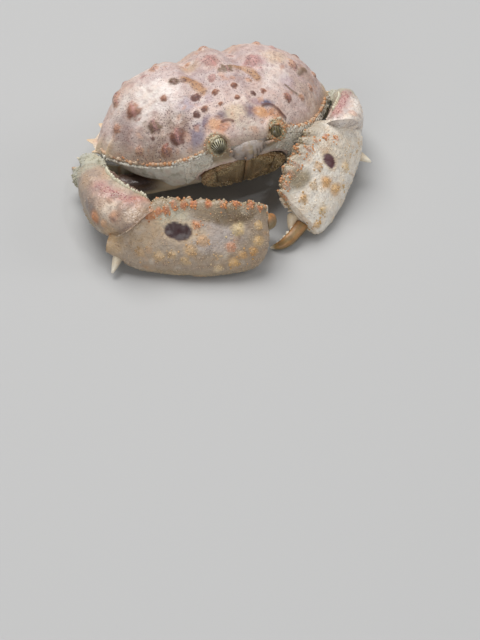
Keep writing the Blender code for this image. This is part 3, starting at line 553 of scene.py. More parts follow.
# raised streaks of the dome: path, width, rise and colour
shellStreaks = (
    (((-11.6, -3.4), (-9.9, -4.8), (-8.8, -7), (-8.2, -9)), 2.8, 0.6, "ochre"),
    (((4.6, -3.2), (7.4, -3.9), (9.6, -6), (10.8, -9.2)), 2.2, 0.6, "ochre"),
    (((-15.6, -3), (-13.7, -3.6), (-12, -4)), 1.2, 0.2, "dark"),
    (((7.9, -20.6), (10, -20.3), (11.9, -21.1), (14.8, -23.3)), 0.9, 0.5, "dark"),
    (((-6.6, -22.8), (-4.8, -23.1), (-3.4, -23.9)), 0.8, 0.3, "dark"),
    (((19.6, -12.2), (21.4, -13.6), (24, -14.4)), 0.7, 0.2, "brown"),
    (((27, -6.6), (29, -4.4), (30.6, -3.6)), 1.6, 0.3, "brown"))
eyePlaces = {word: np.array((9.9 * side, -27, 29.2)) for word, side in sides.items()}
eyeRadius = 2.8
faceFoot, faceTop = np.array((0, -22.5, 9.8)), np.array((0, -25, 22))
faceUp = unit(faceTop - faceFoot)
faceOut = np.array((0, -faceUp[2], faceUp[1]))
mouthEdge = (
    (0, 0), (8, 0.2), (12.6, 2.2), (14.6, 5), (13, 7.8), (8, 10.8), (3, 12.6), (0, 12.8))


def edgeTable():
    # the half edge and its mirror image, as angle, radius and height about the shell's middle
    half = curveThrough(shellEdge, 8 * (len(shellEdge) - 1) + 1)
    whole = np.vstack([half, (half * (-1, 1, 1))[::-1][1:]])
    x, y = whole[:, 0], whole[:, 1] - shellMiddleY
    return np.unwrap(np.arctan2(y, x)), np.hypot(x, y), whole[:, 2]


edgeAngles, edgeRadii, edgeHeights = edgeTable()


def edgeAt(angle):
    wrapped = (np.asarray(angle) - edgeAngles[0]) % (2 * np.pi) + edgeAngles[0]
    return np.interp(wrapped, edgeAngles, edgeRadii), np.interp(wrapped, edgeAngles, edgeHeights)


def edgePoint(degrees, inset=0, drop=0):
    # a point of the edge, drawn in and lowered
    angle = np.radians(degrees)
    radius, height = edgeAt(angle)
    radius = radius - inset
    return np.stack([radius * np.cos(angle), radius * np.sin(angle) + shellMiddleY, height - drop], axis=-1)


def domeHeight(x, y):
    # edge height + rise * (1 - share^2.5)^fullness, share being the way out to the edge; then lobes
    dx, dy = np.asarray(x, float), np.asarray(y, float) - shellMiddleY
    angle = np.arctan2(dy, dx)
    radius, edge = edgeAt(angle)
    reach = 1.0 - 0.05 * ramp(-0.1, 0.3, np.sin(angle))
    share = np.clip(np.hypot(dx, dy) / radius / reach, 0, 1)
    fullness = 0.58 + 0.27 * ramp(0.4, 0.95, np.sin(angle))
    height = edge + (domeTop - edge) * (1.0 - share ** 2.5) ** fullness
    fade = 1.0 - ramp(0.8, 1, share)
    for cx, cy, sx, sy, rise in shellLobes:
        for mirror in ((1, -1) if cx > 0 else (1,)):
            far = ((x - mirror * cx) / sx) ** 2 + ((y - cy) / sy) ** 2
            height = height + fade * rise * np.exp(-0.5 * far)
    return height


def onDome(x, y):
    return np.stack([x, y, domeHeight(x, y)], axis=-1)


def underPoint(step, angle):
    # share of the radius and height of the lower surface, step running from 0 at the edge to 1
    edge = edgeAt(angle)[1]
    face = ramp(0.72, 0.9, -np.sin(angle))
    brim = ramp(-0.1, 0.3, np.sin(angle))
    cheek = (1 - brim) * ramp(0.06, 0.46, -np.sin(angle))
    lowest = 12.4 - 2.8 * ramp(0.5, 0.72, -np.sin(angle))
    drop = brimThickness + 8.0 * cheek
    side = (edge, edge - 0.5 * drop, np.maximum(edge - drop, lowest), 13.6 - 2.4 * brim, 10.8 + 2.6 * cheek,
            bellyZ, bellyZ)
    front = (edge, edge - 4, 19, 12, bellyZ, bellyZ, bellyZ)
    shares = [s + (f - s) * face for s, f in zip(sideShares, faceShares)]
    heights = [s + (f - s) * face for s, f in zip(side, front)]
    share, height = shares[0] + 0 * step, heights[0] + 0 * step
    for k in range(len(underSteps) - 1):
        t = np.clip((step - underSteps[k]) / (underSteps[k + 1] - underSteps[k]), 0, 1)
        share = share + (shares[k + 1] - shares[k]) * t
        height = height + (heights[k + 1] - heights[k]) * t
    return share, height


def mouthInset(points):
    # how far inside the mouth frame a point of the face lies, about in millimetres
    local = points - faceFoot
    x, up = np.abs(local[..., 0]), local @ faceUp
    half = curveThrough(mouthEdge, 60)
    angle = np.arctan2(half[:, 1] - 6, half[:, 0])
    reach = np.hypot(half[:, 0], half[:, 1] - 6)
    here = np.arctan2(up - 6, x)
    return np.interp(here, angle, reach) - np.hypot(x, up - 6)


# how far above the shell's edge its row of beads lies, on the crab's left and right
beadLift = {1: 2.4, -1: 1.0}


def beadLine(degrees, side):
    # at each angle the place where the dome stands a set lift above the edge
    angle = np.radians(degrees)
    radius, edge = edgeAt(angle)
    share = np.linspace(0.95, 1, 80)[:, None]
    places = onDome(radius * share * np.cos(angle) * side, radius * share * np.sin(angle) + shellMiddleY)
    row = np.abs(places[..., 2] - edge - beadLift[side]).argmin(axis=0)
    return places[row, np.arange(len(angle))]


def shellGrid(columns=520, topRings=112, underRings=56):
    # rings by angle: out over the dome to the edge, then back in along the lower surface
    angle = fullTurn(columns)
    t = np.linspace(0.004, 1, topRings)
    share = 1 - (1 - t) ** 1.25
    step = np.linspace(0, 1, underRings + 1)[1:] ** 1.15
    step[-1] = 0.995
    angles = np.broadcast_to(angle, (topRings + underRings, columns))
    radius = edgeAt(angles)[0]
    lowShare, lowHeight = underPoint(step[:, None], angles[topRings:])
    shares = np.vstack([np.broadcast_to(share[:, None], (topRings, columns)), lowShare])
    x = np.cos(angles) * radius * shares
    y = np.sin(angles) * radius * shares + shellMiddleY
    z = np.vstack([domeHeight(x[:topRings], y[:topRings]), lowHeight])
    grid = np.stack([x, y, z], axis=-1)
    for _ in range(3):
        grid[topRings + 1:-1] = (grid[topRings:-2] + 2 * grid[topRings + 1:-1] + grid[topRings + 2:]) / 4
    rim = np.concatenate([ramp(0.925, 1, share), 1 - ramp(0.02, 0.2, step)])[:, None]
    return grid, angles, shares, rim, np.arange(topRings + underRings)[:, None] < topRings


def spineOffset(grid, rim, edge):
    # each rear spine draws the edge out along its own direction
    offset, reach = np.zeros(grid.shape), np.zeros(len(edge))
    for degrees, length, width in edgeSpines:
        for side in (1, -1):
            root = edgePoint(degrees) * (side, 1, 1)
            tangent = (edgePoint(degrees + 1) - edgePoint(degrees - 1)) * (side, 1, 1)
            out = unit((tangent[1], -tangent[0], 0)) * side
            aside = norm(((edge - root) - ((edge - root) @ out)[:, None] * out)[:, :2], axis=1)
            near = norm(edge - root, axis=1) < width
            rise = np.where(near, np.clip(1 - aside / (width / 2), 0, 1), 0) ** 0.85
            push = (rise * (length + 0.15))[:, None] * out + (rise * 0.6)[:, None] * np.array((0, 0, 1))
            offset += rim[..., None] * push[None]
            reach = np.maximum(reach, rise)
    return offset, reach


def eyeAxis(side):
    # the way into the shell from an eye
    return unit((-0.18 * side, 0.86, -0.46))


def carveSocket(grid, eye, side):
    # points before the eye go back to the far half of a ball around it, and the opening gets a raised rim
    inward = eyeAxis(side)
    away = grid - eye
    depth = away @ inward
    aside = norm(away - depth[..., None] * inward, axis=-1)
    near = norm(away, axis=-1) < 7.5
    ball = eyeRadius + 0.12
    wanted = np.sqrt(np.clip(ball ** 2 - aside ** 2, 0, None))
    push = np.where(near & (aside < ball), np.maximum(wanted - depth, 0), 0)
    upper = ramp(-2.5, 1, away[..., 2] + 0.35 * away[..., 0] * side)
    lip = np.where(near, np.exp(-((aside - 3.75) / 0.62) ** 2), 0) * upper * (depth < 3.5)
    return grid + inward * push[..., None] - inward * (1.25 * lip)[..., None], lip, push > 0


def makeShell():
    # the rings pushed along their normals by knobs, streaks and noise, then spines and sockets
    grid, angles, shares, rim, top = shellGrid()
    plain = grid.copy()
    x, y, z = plain[..., 0], plain[..., 1], plain[..., 2]
    normal = gridNormals(grid)
    over = np.where(top, 1, 0)
    places = [(*onDome(kx, ky), 1.15 * width, rise) for kx, ky, width, rise, cap in shellKnobs]
    knobs = knobRise(plain, places)
    for path, width, rise, cap in shellStreaks:
        knobs = knobs + rise * streak(plain, onDome(*np.array(path, float).T), width, 0, 0.8)
    knobs = knobs * over
    inner = over * (1 - ramp(0.9, 0.99, shares))
    relief = 0.9 * noise(plain, 6.5, 3) + 0.35 * noise(plain, 2, 7)
    face = (~top) * ramp(0.7, 0.8, -np.sin(angles)) * (z > 10)
    grid = grid + normal * (knobs + relief * (0.25 + 0.6 * inner + 0.3 * face))[..., None]
    edgeRow = plain[np.argmax(~top[:, 0]) - 1]
    offset, spiny = spineOffset(plain, rim, edgeRow)
    grid = grid + offset
    # the strip below the beads bulges
    lift = np.where(x > 0, beadLift[1], beadLift[-1])
    above = z - edgeAt(angles)[1]
    front = ramp(-0.1, 0.08, -np.sin(angles)) * (1 - ramp(0.86, 0.94, -np.sin(angles)))
    band = top * front * ramp(0.2, -0.2, above - lift)
    grid = grid + normal * (0.6 * front * np.exp(-((above + 1.2) / 3.2) ** 2))[..., None]
    # the mouth frame sinks under its plates, inside a raised lip
    inset = mouthInset(plain)
    onFace = (~top) & (np.abs((plain - faceFoot) @ faceOut) < 5) & (y < -17)
    height = (grid - faceFoot) @ faceOut
    sunk = np.where(onFace, ramp(-0.2, 0.5, inset), 0)
    lip = np.where(onFace, np.exp(-((inset + 1) / 0.7) ** 2), 0)
    grid = grid + faceOut * ((np.minimum(height, -0.35) - height) * sunk + 0.9 * lip)[..., None]
    socket, rims = np.zeros(x.shape, bool), np.zeros(x.shape)
    for word, side in sides.items():
        grid, ring, hollow = carveSocket(grid, eyePlaces[word], side)
        rims, socket = np.maximum(rims, ring), socket | hollow
    paint = paintShell(plain, angles, shares, top, rim, spiny, sunk, lip, rims, socket, band)
    speck = np.where(top, 0.95 + 0.7 * noise(plain, 6, 51), 0.45 * face)
    wander = 0.8 * noise(plain, 4, 55)
    for place, radius, more in shellPaintLook["speckPatches"]:
        speck = speck + more * patch(plain * (1, 1, 0), place, radius, wander) * over
    speck = np.clip(speck + 0.45 * ramp(0.15, 0.5, knobs) - 0.6 * rim * spiny[None], 0, 1.5)
    flank = (face * (front > 0.3) * ramp(1.6, 2.2, -inset) + band) * (~socket) * (rims < 0.2)
    flank = flank * (norm((plain - (0, -28, 26)) / (1.3, 1, 1), axis=-1) > 6)
    return skin(grid, paint, speck, np.where(top, 0.9, 0.7)), grid, gridNormals(grid), flank, paint


# colours of the shell's upper side: x, y, radius along x and y, colour and strength
shellMarks = (
    (0, -3, 15, 11, (190, 171, 170), 0.8), (-24, 2, 12, 10, (214, 197, 194), 0.7),
    (24, -4, 12, 12, (208, 187, 184), 0.7),
    # painted highlight: the near-white patches from (-29, 0.6) to (-14, -14.6) lay a pale sheen across the
    # dome's right side
    (-29, 0.6, 6, 3.4, (236, 224, 214), 0.75), (-23.4, -5, 7.2, 4.8, (244, 234, 226), 0.95),
    (-18, -10, 4.6, 4.2, (236, 224, 218), 0.8), (-14, -14.6, 4.6, 3.6, (228, 212, 208), 0.7),
    (19.3, -8.3, 3.4, 3.4, (238, 224, 214), 0.9), (15.2, -11.5, 3.4, 2.6, (234, 220, 212), 0.8),
    (20.6, -1.4, 4.4, 3.4, (230, 206, 180), 0.8), (-13.7, -12.2, 3.4, 2.4, (172, 158, 168), 0.8),
    (-8.6, -13, 3, 2.4, (186, 168, 174), 0.6), (20.9, -10.6, 2.6, 2.4, (196, 172, 178), 0.6),
    (12.5, -3.4, 3.8, 3, (200, 168, 178), 0.6), (-33.8, -5.1, 3.2, 4.2, (168, 148, 142), 0.7),
    (-23.7, -16.4, 8, 4.6, (150, 130, 112), 0.8), (-30, -14.5, 5.6, 3.8, (162, 144, 130), 0.6),
    (-19.8, -18.9, 4.2, 3, (132, 102, 88), 0.7), (-25.4, -11.9, 3.3, 3.1, (226, 208, 198), 0.5),
    (-12.6, -20.3, 3.2, 2.3, (138, 124, 138), 0.95), (-14.9, -22.6, 2.3, 2, (148, 136, 148), 0.9),
    (-5.9, -21.4, 2.6, 1.7, (108, 92, 106), 0.98), (2.9, -22.1, 2, 2.3, (122, 102, 114), 0.98),
    (9.6, -19.8, 2.2, 1.1, (98, 100, 124), 0.95), (6.4, -19.2, 1.8, 1.2, (170, 136, 142), 0.6),
    (-9, -22.4, 2.7, 1.9, (222, 170, 128), 0.85), (-7, -24.4, 2.4, 1.2, (196, 130, 92), 0.8),
    (6.6, -22.8, 2.5, 1.6, (224, 168, 116), 0.85), (11.4, -22.9, 3.2, 1.3, (200, 138, 92), 0.8),
    (-1.7, -21.6, 3.4, 2.8, (220, 200, 172), 0.75), (0, -25.6, 3.6, 2, (214, 200, 184), 0.7),
    (-7.4, 3.6, 3.2, 2.6, (196, 166, 128), 0.6), (-2, -0.8, 2.6, 1.8, (196, 160, 146), 0.5),
    (0, 21, 26, 9, (216, 182, 156), 0.8), (-30, 12, 6, 8, (218, 190, 170), 0.6),
    (31, 8, 6, 8, (218, 190, 170), 0.5),
    (28.4, -12.8, 4.4, 3.6, (206, 180, 152), 0.5), (30.2, -5, 3, 3, (190, 160, 140), 0.6))


shellPaintLook = {
    "base": (215, 193, 183), "rim": (226, 212, 190), "frontRim": (182, 164, 142), "spines": (228, 200, 162),
    "knobRing": (228, 208, 196), "knobStripe": (206, 156, 150), "softCaps": ("pink", "orange"),
    "roseClouds": (((168, 138, 134), 0.36, 0.08, 0.26, 4.6, 77),), "fineShade": (150, 122, 118),
    "paleClouds": (((240, 228, 218), 0.5, 0.08, 0.26, 3, 91),
                   ((206, 152, 118), 0.45, 0.14, 0.28, 3, 95)),
    "granular": (222, 220, 208), "granularDark": (164, 160, 136), "granularPale": (240, 238, 228),
    "lower": (228, 218, 198), "flankShade": (120, 92, 78), "faceMiddle": (168, 158, 152),
    "faceTan": (162, 142, 104), "mouthPitShade": (120, 98, 72), "mouthLip": (222, 200, 188),
    "mouthDeep": (128, 78, 48), "orbitRim": (176, 150, 118), "socket": (88, 74, 60),
    # where the specks are denser or sparser: place, radius and change
    "speckPatches": (((-24, -16, 0), (10, 6, 1), 0.35), ((0, -8, 0), (12, 8, 1), 0.2),
                     # the specks thin out under the painted highlight at (-24, -5)
                     ((-24, -5, 0), (6, 4.4, 1), -0.45), ((19, -8, 0), (4, 4, 1), -0.4))}


def paintShell(points, angles, shares, top, rim, spiny, sunk, lip, rims, socket, band):
    z = points[..., 2]
    flat = points * (1, 1, 0)
    sizes = ((4, 61), (1.9, 63), (0.9, 65))
    coarse, middle, fine = (noise(points, cell, seed) for cell, seed in sizes)
    wander = 0.7 * coarse + 0.6 * middle + 0.4 * fine
    look = shellPaintLook
    paint = allOver(points, look["base"])
    for mx, my, rx, ry, colour, strength in shellMarks:
        paint = paintOver(paint, colour, strength * patch(flat, (mx, my, 0), (rx, ry, 1), wander, 0.55))
    paint = clouded(paint, points, look["roseClouds"])
    paint = paintOver(paint, look["fineShade"], 0.4 * ramp(0.02, 0.22, 0.6 * middle + 0.7 * fine))
    paint = clouded(paint, points, look["paleClouds"])
    for path, width, rise, cap in shellStreaks:
        line = onDome(*np.array(path, float).T)
        mask = streak(points, line, 1.2 * width, 0.9 * middle + 0.5 * fine, 0.45)
        paint = paintOver(paint, capTones[cap], 0.75 * mask)
    for kx, ky, width, rise, cap in shellKnobs:
        at, soft = onDome(kx, ky), cap in look["softCaps"]
        inner = patch(points, at, (width * 0.46,) * 3, 1.1 * middle + 1.3 * fine, 0.34)
        ring = patch(points, at, (width * 0.7,) * 3, 0.7 * middle, 0.35) - inner
        paint = paintOver(paint, look["knobRing"], 0.5 * np.clip(ring, 0, 1))
        paint = paintOver(paint, capTones[cap], (0.6 if soft else 0.85) * inner)
        # painted shade: each cap is darker on the side that faces forward, away from the light, with a pale
        # stripe across
        away = (points - at) / width
        low = ramp(-0.1, 0.3, away @ np.array((-0.35, -0.9, 0)) + 1.2 * fine)
        paint = paintOver(paint, capTones["dark"], (0.3 if soft else 0.7) * inner * low)
        stripe = np.exp(-((away[..., 0] - 0.05 + 0.3 * fine) / 0.08) ** 2) * ramp(2.6, 4.4, width)
        paint = paintOver(paint, look["knobStripe"], 0.7 * inner * stripe)
    edge = ramp(0.93, 1, shares)
    rear = ramp(-0.25, 0.1, np.sin(angles))
    paint = layered(paint,
        (look["rim"], edge * rear),
        (look["frontRim"], 0.6 * edge * (1 - rear)),
        (look["spines"], rim * spiny[None]))
    # the lower side: ivory under the brim, grey-green granules on the flanks and the face
    granular = allOver(points, look["granular"])
    granular = layered(granular,
        (look["granularDark"], 0.7 * ramp(0.02, 0.24, middle + 0.5 * fine)),
        (look["granularPale"], 0.6 * ramp(0.05, 0.25, -coarse)))
    face = ramp(-0.15, 0.35, -np.sin(angles)) * ramp(9.2, 12, z)
    low = paintOver(allOver(points, look["lower"]), granular, face)
    # painted shade: a dark brown patch low on the right flank, above the arm
    shaded = patch(flat, (-24, -15, 0), (13, 4, 1), wander) * face * (z < 13.5)
    low = layered(low,
        (look["flankShade"], 0.7 * shaded),
        (look["faceMiddle"], 0.85 * patch(points, (0, -27, 26), (9, 4, 4.4), wander)))
    tan = patch(points, (-8.4, -26.6, 24), (3.4, 4, 3.4), wander)
    tan = tan + patch(points, (9.6, -26.6, 26), (3.4, 4, 3), wander)
    low = paintOver(low, look["faceTan"], 0.7 * np.clip(tan, 0, 1))
    paint = np.where(top[..., None], paintOver(paint, granular, band), low)
    # painted shade: the sunk mouth frame under the plates is painted dark brown, which also gives the lip
    # its brown inner edge, and the hollow behind each eye is painted dark
    masks = {"mouthPitShade": 0.8 * sunk, "mouthLip": 0.95 * lip, "mouthDeep": 0.7 * sunk * (1 - lip),
             "orbitRim": 0.75 * rims, "socket": 0.85 * socket}
    return layered(paint, *((look[key], mask) for key, mask in masks.items()))


# beads of the front edge, in a large ragged row and a fine one, and of the orbits; angles in degrees
beadLooks = {
    "large": {"width": (0.7, 1.7), "sunk": 0.3, "longer": 0.3, "root": (168, 146, 120),
              "tips": ((216, 204, 182), (212, 150, 98)), "form": (fullBead, 8, 0.3)},
    "fine": {"width": (0.4, 0.9), "sunk": 0.1, "longer": 0, "root": (168, 140, 110),
             "tips": ((220, 204, 176), (208, 138, 86)), "form": (beadOutline, 6, 0)},
    "orbit": {"width": (0.7, 1.15), "root": (168, 140, 110), "tips": ((196, 190, 168), (218, 158, 116)),
              "beyond": 0.35, "radius": {1: 3.2, -1: 3.6}, "wider": {1: 1.35, -1: 1.0}},
    "ends": (2, -62), "largeCount": 56, "fineCount": 130, "orbitCount": 22}


def beadRow(turn, shift, side, look):
    # one row of beads; shift moves each up or down
    roots = beadLine(turn, side) + shift * (0, 0, 1)
    angle = np.radians(turn)
    normal = np.stack([side * np.cos(angle), np.sin(angle), np.full(len(turn), 0.7)], axis=1)
    width = chance.uniform(*look["width"], len(turn))
    tips = blend(*look["tips"], chance.random((len(turn), 1)))
    return smallForms(roots - unit(normal) * look["sunk"], normal, width * 0.7 + look["longer"], width,
                      look["root"], tips, *look["form"])


def orbitBeads(side, look, count):
    # beads on an arc round the eye, square to the way into the shell
    inward = eyeAxis(side)
    across = unit(np.cross(inward, (0, 0, 1)))
    rise = np.cross(across, inward)
    rise = rise if rise[2] > 0 else -rise
    turn = np.linspace(-look["beyond"], np.pi + look["beyond"], count) + chance.uniform(-0.05, 0.05, count)
    ring = across * np.cos(turn)[:, None] + rise * np.sin(turn)[:, None]
    roots = eyePlaces["left" if side > 0 else "right"] + ring * look["radius"][side] + inward * 0.3
    width = chance.uniform(*look["width"], count) * look["wider"][side]
    tips = blend(*look["tips"], chance.random(count)[:, None] ** 2)
    return smallForms(roots, ring - inward * 0.9, width, width, look["root"], tips, fullBead, 8)


def shellBeads():
    # irregular beads along the front edges, and finer ones around the orbits
    start, end = beadLooks["ends"]
    large, fine = beadLooks["largeCount"], beadLooks["fineCount"]
    made = []
    for side in (1, -1):
        turn = np.linspace(start, end, large) + chance.uniform(-0.35, 0.35, large)
        made.append(beadRow(turn, chance.uniform(-0.3, 0.3, (large, 1)), side, beadLooks["large"]))
        turn = chance.uniform(end, start, fine)
        made.append(beadRow(turn, chance.normal(0, 0.5, (fine, 1)), side, beadLooks["fine"]))
        made.append(orbitBeads(side, beadLooks["orbit"], beadLooks["orbitCount"]))
    return made


# form: how deep a grain is sunk, its height share, its corners and specks
flankLook = {"count": 3400, "smallest": 0.42, "spread": 0.95, "root": 0.62, "pale": (240, 237, 224),
             "paleShare": 0.6, "form": (0.15, 0.62, 6, 0.2)}


def flankGranules(grid, normal, flank, paint):
    # pale grains packed over the flanks below the beaded edge
    look = flankLook
    where = np.argwhere(flank > 0.5)
    row, column = where[chance.integers(0, len(where), look["count"])].T
    size = look["smallest"] + look["spread"] * chance.random(len(row)) ** 1.5
    tint = paint[row, column]
    tips = blend(tint, look["pale"], look["paleShare"])
    return granules(grid[row, column], normal[row, column], size, tint * look["root"], tips, *look["form"])


# the lids: direction and half angle of each eye's open window, and two tones
lidLooks = {
    "left": {"direction": (-0.27, -0.8, 0.52), "window": 42, "tones": ((172, 140, 100), (150, 146, 112))},
    "right": {"direction": (0.12, -0.86, 0.42), "window": 66, "tones": ((186, 176, 146), (160, 142, 104))}}
# degrees from the window's edge, and height over the eye
lidSteps = ((-5, -0.3), (0, 0.12), (4, 0.42), (14, 0.62), (34, 0.6), (60, 0.3), (80, -0.1))
lidGrains = {"count": 150, "size": (0.3, 0.75), "warmShare": 0.3, "warm": (206, 140, 92),
             "pale": (222, 214, 188)}


def eyeLid(word):
    # soft granular tissue that covers the eye but for a ragged window
    rings, columns, look = 40, 110, lidLooks[word]
    pole = unit(look["direction"])
    across = unit(np.cross(pole, (0, 0, 1)))
    up = np.cross(across, pole)
    turn = fullTurn(columns)
    ragged = 4.0 * np.sin(3 * turn + 1) + 2.0 * np.sin(7 * turn)
    steps = curveThrough(lidSteps, rings)
    angle = np.radians(look["window"] + steps[:, :1] + ragged * ramp(50, 0, steps[:, :1]))
    radius = eyeRadius + steps[:, 1:]
    ball = (pole * np.cos(angle)[..., None]
            + (across * np.cos(turn)[:, None] + up * np.sin(turn)[:, None]) * np.sin(angle)[..., None])
    grid = eyePlaces[word] + ball * radius[..., None]
    rough = noise(grid, 1.3, 121)
    grid = grid + ball * (0.45 * rough * ramp(-4, 6, steps[:, :1]))[..., None]
    first, second = look["tones"]
    paint = paintOver(allOver(grid, first), second, cloud(grid, -0.1, 0.2, 2.2, 123))
    # painted shade: the lid darkens where its edge tucks in against the eye
    paint = layered(paint,
        ((96, 76, 52), 0.6 * ramp(5, -3, steps[:, :1])),
        ((206, 196, 166), 0.6 * ramp(0.05, 0.25, rough)))
    count = lidGrains["count"]
    row, column = chance.integers(9, 34, count), chance.integers(0, columns, count)
    size = chance.uniform(*lidGrains["size"], count)
    warm = (chance.random(count) < lidGrains["warmShare"])[:, None]
    tint = paint[row, column]
    tip = np.where(warm, asTone(lidGrains["warm"]), blend(tint, lidGrains["pale"], 0.5))
    grains = granules(grid[row, column], ball[row, column], size, tint * 0.8, tip)
    return [skin(grid, paint, 0.8, 1), grains]


lobeLook = {
    "path": ((-6.8, -26.2, 26.6), (-3.4, -27.7, 25.8), (0, -28.3, 25.4), (3.4, -27.7, 25.8),
             (6.8, -26.2, 26.6)),
    "widths": (2.2, 3.6, 4.2, 3.6, 2.2), "heights": (4.4, 6.8, 7.8, 6.8, 4.4),
    "folds": 8, "foldDepth": 0.34,
    "tone": (196, 184, 176), "hanging": (160, 150, 144), "creaseShade": (106, 96, 90), "ends": (150, 132, 100),
    "clouds": (((180, 158, 118), 0.6, 0.05, 0.2, 2, 35),)}


def frontFolds():
    # a soft wet lobe between the eyes, with folds that hang down to the mouth
    look, rings = lobeLook, 130
    t = np.linspace(0, 1, rings)
    grid = tubeGrid(look["path"], look["widths"], look["heights"], rings, 60)
    fold = np.abs(np.sin(np.pi * (look["folds"] * t + 0.5 * np.sin(9 * t)))) ** 0.8
    hang = ramp(1.6, -1.2, grid[..., 2] - 26)
    relief = look["foldDepth"] * (fold[:, None] - 0.6) * hang + 0.5 * noise(grid, 2.4, 33)
    grid = roundEnds(grid + gridNormals(grid) * relief[..., None], 6, 6)
    paint = paintOver(allOver(grid, look["tone"]), look["hanging"], 0.7 * hang)
    # painted shade in the valleys between the hanging folds
    paint = paintOver(paint, look["creaseShade"], 0.8 * hang * (1 - fold[:, None]))
    paint = clouded(paint, grid, look["clouds"])
    paint = paintOver(paint, look["ends"], 0.7 * ramp(0.7, 1, np.abs(2 * t - 1))[:, None])
    return [skin(grid, paint, 0.25, 0.3)]


shellSkin, shellPoints, shellNormals, shellFlank, shellPaint = makeShell()
makePiece("shell_skin", [shellSkin], "shellHorn", ["carapace"])
lids = shellBeads() + [part for word in lidLooks for part in eyeLid(word)]
makePiece("shell_beads", lids, "shellHorn", ["carapace"])
grains = [flankGranules(shellPoints, shellNormals, shellFlank, shellPaint)]
makePiece("shell_grains", grains, "shellHorn", ["carapace"])


def stopAt(grid, point, normal, gap=0.16, soft=0.35, bulges=()):
    # no point passes the plane, and the surface bends round near it; a bulge is a place, radius and amount
    n = unit(normal)
    height = (grid - point) @ n + gap
    for place, radius, amount in bulges:
        height = height - amount * np.exp(-(((grid - place) / radius) ** 2).sum(-1))
    held = -soft * np.logaddexp(0, -height / soft)
    return grid + n * (held - height)[..., None]


def onFloor(grid):
    # the same for the floor
    return np.concatenate([grid[..., :2], 0.25 * np.logaddexp(0, grid[..., 2:] / 0.25)], axis=-1)


def bendNormal(before, at, after):
    # the way across the plane that halves the bend at a joint
    return unit(unit(np.subtract(at, before)) + unit(np.subtract(after, at)))


# the claws: joints, paths and sizes for each side, as the two differ
claws = {
    "right": {
        "side": -1,
        "hip": (-12.6, -12.4, 6.9), "knee": (-18.5, -12.7, 7.5), "elbow": (-45.5, -10, 8.7),
        "elbowNormal": (-0.62, -0.5, 0.6),
        "wrist": (-41, -33.5, 14), "wristNormal": (0.42, -0.58, -0.7),
        "carpus": ((-46.4, -4.2, 11.4), (-46.6, -6.6, 11.6), (-46.2, -14, 12.7), (-44.6, -24.5, 13.2),
                   (-39.8, -36, 13), (-38, -40, 12.8)),
        "carpusWidths": (4, 8, 12.5, 16.5, 17, 16), "carpusHeights": (5.5, 11, 14.8, 16.5, 17, 16.4),
        "armSpine": ((-42.5, -9.2, 8), (-48.8, -4.4, 5.6), 3.6),
        "crest": ((-45, -27.5, 17), (-38.5, -32.6, 19.5), (-31.5, -36.6, 20.6), (-24.5, -40.2, 21.6),
                  (-16, -44.6, 22), (-8.4, -48.2, 21.8), (-4.2, -50.4, 20.4), (-2.8, -51.6, 15.5)),
        "base": ((-50.5, -36, 7), (-44.6, -42, 2.6), (-37, -46.2, 1), (-29.4, -50.2, 0.7),
                 (-20.8, -53.6, 0.7), (-12, -55.6, 1.2), (-7, -56.4, 4), (-4.4, -55.2, 9)),
        "fatness": (0.8, 0.95, 1, 1, 1, 0.95, 0.8, 0.6),
        "spine": ((-47, -37, 6), (-51.4, -41.6, 2.2), 3.4),
        "finger": ((-4.4, -50.2, 13.6), (-1.4, -48, 12), (0.2, -45, 8), (-0.6, -42.4, 2.6)),
        "fingerSizes": (5.2, 5, 4, 1.8), "fingerNormal": (0.93, 0.33, -0.16),
        "fixedFinger": ((-8.5, -50.6, 6), (-2.6, -47.6, 2.6), 6, 2.4)},
    "left": {
        "side": 1,
        "hip": (12.6, -12.4, 6.9), "knee": (18.5, -12.7, 7.5), "elbow": (43.6, -9, 8.7),
        "elbowNormal": (0.58, -0.5, 0.64),
        "wrist": (33.5, -24.3, 17), "wristNormal": (-0.15, -0.93, -0.33),
        "carpus": ((45, -1.2, 12.4), (45.4, -3.4, 12.8), (44, -9.4, 14), (39.6, -17.4, 15.8),
                   (33.8, -26.5, 17.4), (32.4, -28.6, 17.6)),
        "carpusWidths": (4, 7, 9.4, 12.2, 12.8, 12), "carpusHeights": (6, 11.5, 14, 15, 15.5, 15),
        "armSpine": ((40.8, -8.2, 8), (47.4, -4.4, 6), 3.6),
        "crest": ((27, -21.5, 23), (21.8, -27.6, 24), (16.6, -31.6, 23.8), (11.2, -36.2, 22),
                  (7, -40.6, 19), (4.4, -44.2, 14.8), (3.6, -46, 10)),
        "base": ((42.6, -19.2, 13.2), (40.6, -25.4, 9.8), (36.6, -31, 5.4), (29.6, -38.4, 2.2),
                 (23, -44.6, 1.2), (17.4, -48.6, 1.3), (12.8, -49.6, 2.4)),
        "fatness": (1.3, 1.25, 1.1, 1, 0.95, 0.8, 0.65),
        "spine": ((39.6, -26.2, 9.8), (43.4, -31, 8.6), 3.2),
        "finger": ((11.4, -46, 4.2), (6.6, -49, 3.2), (2.8, -49.8, 1.8), (-0.6, -48.4, 0.5)),
        "fingerSizes": (4.2, 3.6, 2.6, 0.9), "fingerNormal": (-0.78, -0.58, -0.24),
        "fixedFinger": ((9.8, -42.8, 7.4), (7.2, -45.8, 2.8), 3.4, 0.5)}}
palmSection = (
    (0.00, 0.00), (0.05, 0.06), (0.2, 0.1), (0.42, 0.15), (0.64, 0.17), (0.82, 0.15), (0.94, 0.09),
    (1.00, 0.00), (1.00, -0.12), (0.94, -0.25), (0.84, -0.35), (0.75, -0.36), (0.64, -0.28), (0.46, -0.17),
    (0.24, -0.11), (0.05, -0.08))
